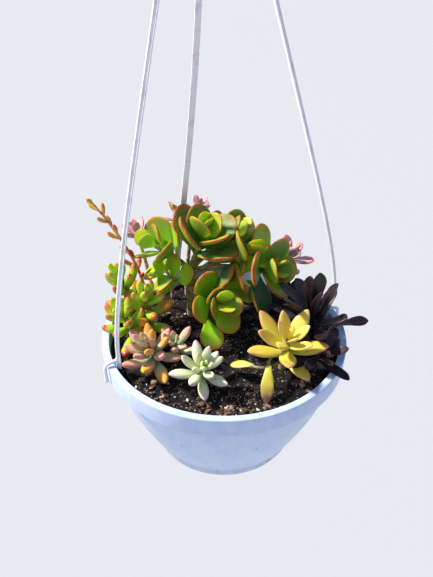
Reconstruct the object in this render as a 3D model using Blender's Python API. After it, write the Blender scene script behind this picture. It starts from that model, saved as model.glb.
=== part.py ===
"""Succulent hanging basket: a moulded white pot on three plastic strands with a hook, planted with a jade plant
and small rosette succulents.

Metres, +Z up. The origin is the top of the hook's inner curve, where the basket hangs. The pot, its soil, the
strands and the plants are modelled about the centre of the pot's rim, which lies at RIM_CENTRE.
"""

import math
import random

import bmesh
import bpy
from mathutils import Vector
from mathutils.bvhtree import BVHTree

# Driving dimensions
RIM_CENTRE = Vector((0.015, 0.005, -0.560))
STRAND_APEX = Vector((-0.015, -0.005, 0.522))
RIM_RADIUS = 0.125
RIM_SKIRT_HEIGHT = 0.0211
POT_HEIGHT = 0.1411
BASE_RADIUS = 0.057
FOOT_INNER_RADIUS = 0.0500
FOOT_RISE = 0.0016
WALL = 0.0020
WALL_TOP_RADIUS = 0.1206
WALL_END = -0.122
LIP_RADIUS = 0.1178
LIP_PLATE = 0.0026
RIM_WALL = 0.0016
RIM_ROUND = 0.0010
FLOOR_TURN = 0.0065
FIT_GAP = 0.0003
STEM_GAP = 0.00045
POT_SEGMENTS = 34
DRAIN_HOLE_RADIUS = 0.0045
DRAIN_CIRCLE_RADIUS = 0.034
DRAIN_HOLES = 4

SOIL_LEVEL = -0.013
SOIL_EDGE_RADIUS = 0.1155
SOIL_GAP = 0.0005
ROOT_DEPTH = -0.034
COLLAR_RISE = 0.0042
LEAF_CLEARANCE = 0.0005
FLAT_ANGLE = 4.5
STEM_SIDES = 5

HOOK_INNER_RADIUS = 0.0144
HOOK_ROD_RADIUS = 0.0028
HUB_TOP = -0.0385
HUB_THICKNESS = 0.004
HUB_RADIUS = 0.0125

STRAND_WIDTH = 0.0066
STRAND_BASE_THICKNESS = 0.0016
STRAND_RIB_THICKNESS = 0.0018
STRAND_HUB_RADIUS = 0.0072
STRAND_FOOT_RADIUS = 0.1122

GOLDEN_ANGLE = math.radians(137.508)
UP = Vector((0, 0, 1))


def clear_scene():
    for obj in list(bpy.data.objects):
        bpy.data.objects.remove(obj, do_unlink=True)


def material(name, colour, roughness, metallic=0.0):
    """A Principled material of one colour, given as linear red, green and blue."""
    made = bpy.data.materials.new(name)
    made.use_nodes = True
    shader = made.node_tree.nodes["Principled BSDF"]
    shader.inputs["Base Color"].default_value = (*colour, 1)
    shader.inputs["Roughness"].default_value = roughness
    shader.inputs["Metallic"].default_value = metallic
    return made


def add_object(name, bm, finish, location=RIM_CENTRE, smooth_angle=40):
    mesh = bpy.data.meshes.new(name)
    bm.to_mesh(mesh)
    bm.free()
    mesh.materials.append(finish)
    mesh.shade_smooth()
    mesh.set_sharp_from_angle(angle=math.radians(smooth_angle))
    obj = bpy.data.objects.new(name, mesh)
    obj.location = location
    bpy.context.scene.collection.objects.link(obj)
    return obj


def merge_flat_faces(mesh, angle, roots):
    """Joins faces that nearly lie in one plane, but not on the straight roots that stand in the soil's holes."""
    bm = bmesh.new()
    bm.from_mesh(mesh)
    bmesh.ops.dissolve_degenerate(bm, dist=0.000002, edges=bm.edges)
    bm.verts.index_update()
    free = []
    for vert in bm.verts:
        in_hole = any((vert.co.xy - base.xy).length < 1.5 * radius for base, radius, _ in roots)
        if not in_hole or vert.co.z > SOIL_LEVEL + COLLAR_RISE + 0.001:
            free.append(vert)
    chosen = {vert.index for vert in free}
    edges = [edge for edge in bm.edges if edge.verts[0].index in chosen and edge.verts[1].index in chosen]
    bmesh.ops.dissolve_limit(bm, angle_limit=math.radians(angle), verts=free, edges=edges)
    bmesh.ops.triangulate(bm, faces=bm.faces)
    bm.to_mesh(mesh)
    bm.free()


def boolean(obj, tools, operation, solver="EXACT"):
    """Joins the tools to the object, or cuts them from it, and then removes them."""
    group = bpy.data.collections.new("tools")
    bpy.context.scene.collection.children.link(group)
    for tool in tools:
        bpy.context.scene.collection.objects.unlink(tool)
        group.objects.link(tool)
    modifier = obj.modifiers.new("Join", "BOOLEAN")
    modifier.operation = operation
    modifier.operand_type = "COLLECTION"
    modifier.collection = group
    modifier.solver = solver
    bpy.context.view_layer.update()
    graph = bpy.context.evaluated_depsgraph_get()
    joined = bpy.data.meshes.new_from_object(obj.evaluated_get(graph))
    obj.modifiers.remove(modifier)
    obj.data = joined
    for tool in tools:
        bpy.data.objects.remove(tool, do_unlink=True)
    bpy.data.collections.remove(group)
    return obj


# Shapes


def loft(rings):
    """A closed skin over rings of points; a ring of one point is a tip."""
    bm = bmesh.new()
    made = []
    for ring in rings:
        made.append([bm.verts.new(point) for point in ring])
    for first, second in zip(made, made[1:]):
        count = max(len(first), len(second))
        for i in range(count):
            j = (i + 1) % count
            corners = [first[i % len(first)], first[j % len(first)], second[j % len(second)], second[i % len(second)]]
            face = []
            for corner in corners:
                if corner not in face:
                    face.append(corner)
            bm.faces.new(face)
    for end in (made[0], made[-1]):
        if len(end) > 2:
            bm.faces.new(end)
    bmesh.ops.triangulate(bm, faces=bm.faces)
    bmesh.ops.recalc_face_normals(bm, faces=bm.faces)
    return bm


def turned(profile, segments):
    """A closed outline of (radius, height) points turned about Z; a radius of 0 is a point on the axis."""
    bm = bmesh.new()
    rings = []
    for radius, height in profile:
        if radius == 0:
            rings.append([bm.verts.new((0, 0, height))])
            continue
        ring = []
        for i in range(segments):
            angle = 2 * math.pi * i / segments
            ring.append(bm.verts.new((radius * math.cos(angle), radius * math.sin(angle), height)))
        rings.append(ring)
    pairs = list(zip(rings, rings[1:]))
    if profile[0][0] > 0:
        pairs.append((rings[-1], rings[0]))
    for first, second in pairs:
        for i in range(segments):
            j = (i + 1) % segments
            corners = [first[i % len(first)], first[j % len(first)], second[j % len(second)], second[i % len(second)]]
            face = []
            for corner in corners:
                if corner not in face:
                    face.append(corner)
            if len(face) > 2:
                bm.faces.new(face)
    bmesh.ops.recalc_face_normals(bm, faces=bm.faces)
    return bm


def bezier(points, fraction):
    """A point of the Bezier curve with the given control points."""
    left = list(points)
    while len(left) > 1:
        left = [a.lerp(b, fraction) for a, b in zip(left, left[1:])]
    return left[0]


def curve_points(points, count):
    return [bezier(points, i / (count - 1)) for i in range(count)]


def direction_at(path, index):
    before = path[max(index - 1, 0)]
    after = path[min(index + 1, len(path) - 1)]
    return (after - before).normalized()


def tube_rings(path, radii, sides, side_hint=Vector((1, 0, 0))):
    """Rings of a round rod along a path, carried along without twist."""
    rings = []
    side = side_hint
    for index, point in enumerate(path):
        along = direction_at(path, index)
        side = (side - along * side.dot(along)).normalized()
        other = along.cross(side)
        ring = []
        for i in range(sides):
            angle = 2 * math.pi * (i + 0.5) / sides
            ring.append(point + (side * math.cos(angle) + other * math.sin(angle)) * radii[index])
        rings.append(ring)
    return rings


# Pot, soil and hanger


def pot_wall_radius(height):
    """Outer radius of the wall below the rim: steep at the top, rounding in to the base."""
    depth = -height
    return 0.1231 - 0.168 * depth - 1.72 * depth**2


def wall_heights():
    """Heights of the rings of the wall, from under the rim to where it rounds in to the base."""
    return [-RIM_SKIRT_HEIGHT + (WALL_END + RIM_SKIRT_HEIGHT) * i / 3 for i in range(4)]


def pot_inside():
    """The inner outline, from the middle of the floor up to the lip."""
    floor = FOOT_RISE - POT_HEIGHT + WALL
    wall = [(pot_wall_radius(height) - WALL, height) for height in wall_heights()]
    low_radius, low_height = wall[-1]
    outline = [(0, floor), (BASE_RADIUS - 0.003, floor + 0.0004), (low_radius - FLOOR_TURN, low_height - FLOOR_TURN)]
    return outline + wall[::-1] + [(LIP_RADIUS, 0)]


def make_pot(plastic):
    skirt = -RIM_SKIRT_HEIGHT
    outer = [(pot_wall_radius(height), height) for height in wall_heights()]
    turn_radius = pot_wall_radius(WALL_END) - BASE_RADIUS
    turn_drop = POT_HEIGHT + WALL_END
    for step in (1, 2, 3):
        angle = math.radians(90 * step / 3)
        radius = BASE_RADIUS + turn_radius * math.cos(angle)
        outer.append((radius, WALL_END - turn_drop * math.sin(angle)))
    foot = [(FOOT_INNER_RADIUS, -POT_HEIGHT), (FOOT_INNER_RADIUS - 0.0015, FOOT_RISE - POT_HEIGHT)]
    foot.append((0, FOOT_RISE - POT_HEIGHT))
    rim = [
        (RIM_RADIUS - RIM_ROUND, 0),
        (RIM_RADIUS, -RIM_ROUND),
        (RIM_RADIUS - RIM_ROUND, skirt),
        (RIM_RADIUS - RIM_ROUND - RIM_WALL, skirt),
        (RIM_RADIUS - RIM_WALL - 0.0005, -LIP_PLATE),
        (WALL_TOP_RADIUS, -LIP_PLATE),
    ]
    pot = add_object("pot", turned(rim + outer + foot + pot_inside(), POT_SEGMENTS), plastic)
    drills = []
    places = [(0, 0)]
    for i in range(DRAIN_HOLES):
        angle = 2 * math.pi * (i + 0.5) / DRAIN_HOLES
        places.append((DRAIN_CIRCLE_RADIUS * math.cos(angle), DRAIN_CIRCLE_RADIUS * math.sin(angle)))
    for x, y in places:
        drill = bmesh.new()
        bmesh.ops.create_cone(
            drill, cap_ends=True, segments=8, radius1=DRAIN_HOLE_RADIUS, radius2=DRAIN_HOLE_RADIUS, depth=0.02
        )
        bmesh.ops.translate(drill, verts=drill.verts, vec=(x, y, FOOT_RISE - POT_HEIGHT))
        drills.append(add_object("drill", drill, plastic))
    return boolean(pot, drills, "DIFFERENCE")


def soil_height(x, y):
    """The soil's rough top: a low mound with clods, lower against the wall."""
    clods = math.sin(170 * x + 1.3) * math.cos(190 * y - 0.4) + 0.6 * math.sin(310 * x - 230 * y)
    reach = math.hypot(x, y) / SOIL_EDGE_RADIUS
    return SOIL_LEVEL + 0.0009 * clods - 0.0012 * reach**4


def make_soil(soil_finish, stems):
    """The soil fills the pot, just clear of its wall, and has a plain hole for each stem."""
    bm = bmesh.new()
    rings = []
    half = POT_SEGMENTS // 2
    for radius, count in [(0.0, 1), (0.030, half), (0.056, half), (0.078, half), (0.098, POT_SEGMENTS)]:
        ring = []
        for i in range(count):
            angle = 2 * math.pi * i / count
            x, y = radius * math.cos(angle), radius * math.sin(angle)
            ring.append(bm.verts.new((x, y, soil_height(x, y))))
        rings.append(ring)
    top = (LIP_RADIUS - 0.0008, SOIL_LEVEL - 0.003)
    bottom = pot_inside()[1:-1]
    for radius, height in [top] + bottom[::-1]:
        lift = SOIL_GAP if height < WALL_END else 0
        ring = []
        for i in range(POT_SEGMENTS):
            angle = 2 * math.pi * i / POT_SEGMENTS
            x, y = (radius - SOIL_GAP) * math.cos(angle), (radius - SOIL_GAP) * math.sin(angle)
            ring.append(bm.verts.new((x, y, height + lift)))
        rings.append(ring)
    for first, second in zip(rings, rings[1:]):
        bridge(bm, first, second)
    bm.faces.new(reversed(rings[-1]))
    bmesh.ops.triangulate(bm, faces=[face for face in bm.faces if len(face.verts) > 4])
    bmesh.ops.recalc_face_normals(bm, faces=bm.faces)
    soil = add_object("soil", bm, soil_finish, smooth_angle=30)
    cutters = []
    for base, radius, sides in stems:
        path = [Vector((base.x, base.y, ROOT_DEPTH - FIT_GAP)), Vector((base.x, base.y, 0.004))]
        widened = radius + STEM_GAP
        cutters.append(add_object("hole", loft(tube_rings(path, [widened, widened], sides)), soil_finish))
    return boolean(soil, cutters, "DIFFERENCE")


def bridge(bm, inner, outer):
    """Faces between two rings about the same centre, where the outer has as many points or twice as many."""
    count = len(outer)
    ratio = max(count // len(inner), 1)
    if len(inner) == 1:
        for i in range(count):
            bm.faces.new((inner[0], outer[i], outer[(i + 1) % count]))
        return
    for i in range(len(inner)):
        start = i * ratio
        here, there = inner[i], inner[(i + 1) % len(inner)]
        fan = [outer[(start + k) % count] for k in range(ratio + 1)]
        if ratio == 1:
            bm.faces.new((here, fan[0], fan[1], there))
        else:
            bm.faces.new((here, fan[0], fan[1]))
            bm.faces.new((here, fan[1], there))
            bm.faces.new((there, fan[1], fan[2]))


def hook_path():
    """The hook's centre line: a straight shank, a swing to the right, and round over the top."""
    ring_radius = HOOK_INNER_RADIUS + HOOK_ROD_RADIUS
    centre = Vector((0, 0, -HOOK_INNER_RADIUS))
    path = [Vector((0, 0, HUB_TOP - 0.002)), Vector((0, 0, HUB_TOP + 0.0030)), Vector((0.0022, 0, HUB_TOP + 0.0060))]
    start, end, steps = -52, 196, 14
    for i in range(steps + 1):
        angle = math.radians(start + (end - start) * i / steps)
        path.append(centre + Vector((math.cos(angle), 0, math.sin(angle))) * ring_radius)
    return path


def make_hook(plastic):
    hub = turned(
        [
            (0, HUB_TOP),
            (HUB_RADIUS - 0.0008, HUB_TOP),
            (HUB_RADIUS, HUB_TOP - 0.0008),
            (HUB_RADIUS, HUB_TOP - HUB_THICKNESS + 0.0008),
            (HUB_RADIUS - 0.0008, HUB_TOP - HUB_THICKNESS),
            (0, HUB_TOP - HUB_THICKNESS),
        ],
        16,
    )
    hook = add_object("hanger_hook", hub, plastic, location=Vector((0, 0, 0)))
    path = hook_path()
    radii = [HOOK_ROD_RADIUS] * len(path)
    radii[-1] = HOOK_ROD_RADIUS * 0.8
    rod = add_object("rod", loft(tube_rings(path, radii, 8)), plastic, location=Vector((0, 0, 0)))
    boolean(hook, [rod], "UNION")
    slots = []
    for azimuth in STRAND_AZIMUTHS.values():
        outward = radial(azimuth)
        across = UP.cross(outward)
        rings = []
        for height in (HUB_TOP - HUB_THICKNESS - 0.002, HUB_TOP + 0.001):
            middle = outward * STRAND_HUB_RADIUS + UP * height
            half_width = STRAND_WIDTH * STRAND_TOP_SCALE / 2 + 0.0005
            inner, outer = -0.0016, 0.0120
            rings.append(
                [
                    middle + outward * inner - across * half_width,
                    middle + outward * outer - across * half_width,
                    middle + outward * outer + across * half_width,
                    middle + outward * inner + across * half_width,
                ]
            )
        slots.append(add_object("slot", loft(rings), plastic, location=Vector((0, 0, 0))))
    return boolean(hook, slots, "DIFFERENCE")


def radial(azimuth):
    angle = math.radians(azimuth)
    return Vector((math.cos(angle), math.sin(angle), 0))


# Each strand's azimuth about the pot, and the reach and height of the two handles that shape its curve.
STRAND_AZIMUTHS = {"strand_left": 204, "strand_right": 17, "strand_rear": 117}
STRAND_HANDLES = {
    "strand_left": ((0.1146, 0.0963), (0.0314, 0.3742)),
    "strand_right": ((0.1500, 0.0150), (0.0323, 0.3454)),
    "strand_rear": ((0.0973, 0.0896), (0.0060, 0.3169)),
}
STRAND_TOP_SCALE = 0.72
STRAND_HEAD_SPREAD = 1.45
STRAND_HEAD_RISE = 0.0034


def strand_section(centre, along, across, width, scale=1.0):
    """A flat strip with a rib down its outer face."""
    outward = across.cross(along)
    half = width / 2
    rib = 0.24 * width
    strip = STRAND_BASE_THICKNESS * scale
    crest = strip + STRAND_RIB_THICKNESS * scale
    outline = [(-half, 0), (half, 0), (half, strip * 0.8), (rib, crest), (-rib, crest), (-half, strip * 0.8)]
    return [centre + across * x + outward * y for x, y in outline]


def make_strand(name, plastic):
    """The strip from its head above the hub down to a foot inside the rim, with a hook over the rim."""
    outward = radial(STRAND_AZIMUTHS[name])
    (reach_low, rise_low), (reach_high, rise_high) = STRAND_HANDLES[name]
    across = UP.cross(outward)
    foot = outward * STRAND_FOOT_RADIUS + UP * 0.0006
    top = STRAND_APEX + outward * STRAND_HUB_RADIUS
    handles = [
        foot + UP * 0.012,
        outward * reach_low + UP * rise_low,
        STRAND_APEX * (rise_high / STRAND_APEX.z) + outward * reach_high,
        top - UP * (HUB_THICKNESS + 0.0055),
    ]
    steps = 12
    path = curve_points(handles, steps)
    narrowing = STRAND_WIDTH * (1 - STRAND_TOP_SCALE)
    widths = [STRAND_WIDTH - narrowing * (i / (steps - 1)) ** 3 for i in range(steps)]
    path = [foot - UP * 0.0050, foot] + path
    widths = [STRAND_WIDTH * 1.15, STRAND_WIDTH * 1.25] + widths
    scales = [1.3, 1.3] + [1.0] * steps
    neck = STRAND_WIDTH * STRAND_TOP_SCALE
    head = neck * STRAND_HEAD_SPREAD
    hub_face = Vector((top.x, top.y, HUB_TOP - RIM_CENTRE.z))
    for rise, width, scale in (
        (-HUB_THICKNESS - 0.0005, neck, 0.8),
        (FIT_GAP + 0.0001, neck, 0.8),
        (FIT_GAP + 0.0004, head, 0.95),
        (FIT_GAP + STRAND_HEAD_RISE, head, 0.95),
    ):
        path.append(hub_face + UP * rise)
        widths.append(width)
        scales.append(scale)
    rings = []
    for index, point in enumerate(path):
        along = direction_at(path, index)
        if index < 2 or index >= len(path) - 4:
            along = UP
        rings.append(strand_section(point, along, across, widths[index], scales[index]))
    strand = add_object(name, loft(rings), plastic)
    hook_line = [
        outward * (STRAND_FOOT_RADIUS + 0.0015) + UP * 0.0052,
        outward * (STRAND_FOOT_RADIUS + 0.0050) + UP * 0.0050,
        outward * (LIP_RADIUS + 0.0030) + UP * 0.0044,
        outward * (RIM_RADIUS - 0.0005) + UP * 0.0036,
        outward * (RIM_RADIUS + 0.0026) + UP * 0.0010,
        outward * (RIM_RADIUS + 0.0030) - UP * 0.0035,
        outward * (RIM_RADIUS + 0.0027) - UP * 0.0120,
        outward * (RIM_RADIUS + 0.0026) - UP * 0.0165,
        outward * (RIM_RADIUS + 0.0026) - UP * 0.0190,
    ]
    radii = [0.0019, 0.0019, 0.0018, 0.0018, 0.0018, 0.0018, 0.0018, 0.0022, 0.0014]
    rod = add_object("rod", loft(tube_rings(hook_line, radii, 6, side_hint=across)), plastic)
    return boolean(strand, [rod], "UNION")


# Leaves
# A leaf is a loft of rings along a midrib that starts inside its stem and bends evenly. Its outline rises from the
# root width to its widest and closes at the tip. "widest" is that place along the leaf, and "tip" is how blunt it is.

LEAF_KINDS = {
    "jade": dict(width=0.76, depth=0.125, root=0.20, widest=0.62, tip=0.50, sides=4, cup=0.15, rings=4),
    "bean": dict(width=0.38, depth=0.36, root=0.42, widest=0.64, tip=0.50, sides=4, cup=0.0, rings=3),
    "finger": dict(width=0.35, depth=0.26, root=0.38, widest=0.60, tip=0.60, sides=4, cup=0.0, rings=3),
    "star": dict(width=0.38, depth=0.17, root=0.42, widest=0.57, tip=0.64, sides=4, cup=0.10, rings=4),
    "strap": dict(width=0.30, depth=0.06, root=0.34, widest=0.76, tip=0.60, sides=4, cup=0.16, rings=4),
    "paddle": dict(width=0.56, depth=0.17, root=0.30, widest=0.62, tip=0.62, sides=4, cup=0.12, rings=4),
    "husk": dict(width=0.40, depth=0.12, root=0.40, widest=0.45, tip=0.90, sides=4, cup=0.30, rings=3),
}
# Where the rings of a leaf stand along it, from the root; the last is its tip.
LEAF_STATIONS = {3: (0.0, 0.50, 0.87, 1.0), 4: (0.0, 0.30, 0.62, 0.90, 1.0)}


def outline_at(kind, fraction):
    """Half width over the widest half width."""
    if fraction <= kind["widest"]:
        rise = math.sin(0.5 * math.pi * fraction / kind["widest"])
        return kind["root"] + (1 - kind["root"]) * rise**1.6
    left = (1 - fraction) / (1 - kind["widest"])
    return math.sin(0.5 * math.pi * max(left, 0)) ** kind["tip"]


def ground_height(x, y):
    """The lowest height that a leaf may reach here: over the soil, the rim, or nothing past the rim."""
    reach = math.hypot(x, y)
    if reach > RIM_RADIUS + 0.004:
        return -1.0
    soil = soil_height(x, y) + LEAF_CLEARANCE
    rim = LEAF_CLEARANCE + 0.0004
    blend = min(max((reach - 0.100) / (0.1145 - 0.100), 0), 1)
    return soil + (rim - soil) * blend


def leaf_rings(leaf, grow=0.0):
    """Rings of one leaf; grow thickens it all round, for the test of what it would touch."""
    kind = LEAF_KINDS[leaf["kind"]]
    stations = LEAF_STATIONS[kind["rings"]]
    length = leaf["length"]
    along, upward = leaf["along"], leaf["upward"]
    across = along.cross(upward)
    bend = leaf["bend"]
    half_width = length * kind["width"] * leaf["broad"] / 2
    half_depth = length * kind["depth"] / 2
    rings = []
    lifted = 0.0
    for fraction in stations:
        angle = bend * fraction
        if abs(bend) < 0.001:
            forward, rise = fraction * length, 0.0
        else:
            forward = length * math.sin(angle) / bend
            rise = length * (1 - math.cos(angle)) / bend
        centre = leaf["root"] + along * forward + upward * rise
        normal = upward * math.cos(angle) - along * math.sin(angle)
        share = outline_at(kind, fraction)
        wide = half_width * share + grow
        deep = half_depth * share**0.7 + grow
        ring = []
        if fraction == 1.0:
            ring.append(centre + (along * math.cos(angle) + upward * math.sin(angle)) * grow)
        else:
            for i in range(kind["sides"]):
                turn = 2 * math.pi * i / kind["sides"]
                x, y = math.cos(turn), math.sin(turn)
                raised = deep * y * (0.75 if y > 0 else 1.0) + kind["cup"] * wide * x * x
                ring.append(centre + across * (wide * x) + normal * raised)
        for point in ring:
            need = ground_height(point.x, point.y) - (point.z + lifted)
            lifted += max(need, 0)
        rings.append([point + UP * lifted for point in ring])
    return rings


def perpendicular(axis):
    hint = Vector((0, -1, 0)) if abs(axis.z) > 0.3 else UP
    return (hint - axis * hint.dot(axis)).normalized()


def leaf_from(root, axis, azimuth, spread, length, kind, bend, sunk, broad):
    """A leaf leaving its stem's axis at an angle, with its upper face turned to the axis."""
    first = perpendicular(axis)
    second = axis.cross(first)
    outward = first * math.cos(azimuth) + second * math.sin(azimuth)
    along = axis * math.cos(spread) + outward * math.sin(spread)
    upward = axis * math.sin(spread) - outward * math.cos(spread)
    root = root + outward * sunk
    return dict(root=root, along=along, upward=upward, length=length, kind=kind, bend=bend, broad=broad)


def grow_leaves(stem, draw):
    """Leaves of one stem, from the lowest to the tip: spirals, or crossed pairs on a jade stem."""
    path = stem["path"]
    count = stem["leaves"]
    pairs = stem["kind"] == "jade"
    leaves = []
    for index in range(count):
        level = index // 2 if pairs else index
        levels = (count + 1) // 2 if pairs else count
        rise = level / max(levels - 1, 1)
        where = stem["from"] + (1 - stem["from"]) * rise
        spot = where * (len(path) - 1)
        low = min(int(spot), len(path) - 2)
        root = path[low].lerp(path[low + 1], spot - low)
        axis = (path[low + 1] - path[low]).normalized()
        if pairs:
            azimuth = stem["roll"] + level * math.pi / 2 + (index % 2) * math.pi
        else:
            azimuth = stem["roll"] + index * GOLDEN_ANGLE
        spread = stem["spread"][0] + (stem["spread"][1] - stem["spread"][0]) * rise
        size = stem["length"][0] + (stem["length"][1] - stem["length"][0]) * rise ** stem.get("shrink", 1.6)
        azimuth += math.radians(draw.uniform(-stem["jitter"], stem["jitter"]))
        spread += math.radians(draw.uniform(-stem["jitter"], stem["jitter"]) * 0.7)
        size *= draw.uniform(0.90, 1.08)
        bend = math.radians(stem["bend"] + draw.uniform(-8, 8))
        sunk = 0.35 * stem["radii"][-1]
        broad = stem.get("broad", 1.0)
        leaves.append(leaf_from(root, axis, azimuth, spread, size, stem["kind"], bend, sunk, broad))
    return leaves


def tree_of(rings):
    bm = loft(rings)
    tree = BVHTree.FromBMesh(bm)
    bm.free()
    return tree


def stem_rings(stem):
    path, radii = stem["path"], stem["radii"]
    return tube_rings(path, radii, stem["sides"])


# Ways in which a leaf that would cross a neighbour is bent clear: turned up, turned down, shortened.
TRIALS = [(0, 0, 1.0)]
for shorter in (1.0, 0.85, 0.7):
    for tilt in (12, -12, 24, -24, 36, 48):
        for swing in (0, 14, -14, 28, -28):
            TRIALS.append((tilt, swing, shorter))


def turned_leaf(leaf, tilt, swing, shorter):
    tilt, swing = math.radians(tilt), math.radians(swing)
    across = leaf["along"].cross(leaf["upward"])
    along = leaf["along"] * math.cos(swing) + across * math.sin(swing)
    across = along.cross(leaf["upward"])
    turned_along = along * math.cos(tilt) + leaf["upward"] * math.sin(tilt)
    upward = leaf["upward"] * math.cos(tilt) - along * math.sin(tilt)
    moved = dict(leaf)
    moved.update(along=turned_along, upward=upward, length=leaf["length"] * shorter)
    return moved


def blade_rings(leaf, grow=0.0):
    """The leaf without its root, for the test against leaves of its own plant."""
    return leaf_rings(leaf, grow)[1:]


def settle(leaf, others, own):
    """The leaf bent clear of other plants and the strands, and of its own plant where that can be done."""
    spare = None
    for tilt, swing, shorter in TRIALS:
        trial = turned_leaf(leaf, tilt, swing, shorter)
        tree = tree_of(leaf_rings(trial, grow=LEAF_CLEARANCE * 0.8))
        if any(tree.overlap(other) for other in others):
            continue
        blade = tree_of(blade_rings(trial, grow=0.0001))
        if not any(blade.overlap(other) for other in own):
            return trial
        spare = spare or trial
    return spare


def stem(base, tip, radius, **more):
    """A stem that rises straight from its hole in the soil and curves to its tip."""
    base = Vector((base[0], base[1], 0))
    tip = Vector(tip)
    bottom = Vector((base.x, base.y, ROOT_DEPTH))
    collar = Vector((base.x, base.y, SOIL_LEVEL + COLLAR_RISE))
    middle = collar + UP * max((tip.z - collar.z) * 0.5, 0.002)
    path = [bottom] + [bezier([collar, middle, tip], i / 4) for i in range(5)]
    radii = [radius] * 2 + [radius * (1 - 0.10 * i) for i in range(1, 5)]
    made = dict(path=path, radii=radii, sides=STEM_SIDES, base=base, rooted=True)
    made.update(more)
    made.setdefault("from", 0.5)
    return made


def branch(points, radius, **more):
    """A branch whose first point lies inside the stem that it leaves."""
    path = curve_points([Vector(point) for point in points], 6)
    made = dict(path=path, radii=[radius * (1 - 0.07 * i) for i in range(6)], sides=STEM_SIDES, rooted=False)
    made.update(more)
    made.setdefault("from", 0.5)
    return made


def degrees(first, last):
    return (math.radians(first), math.radians(last))


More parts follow.
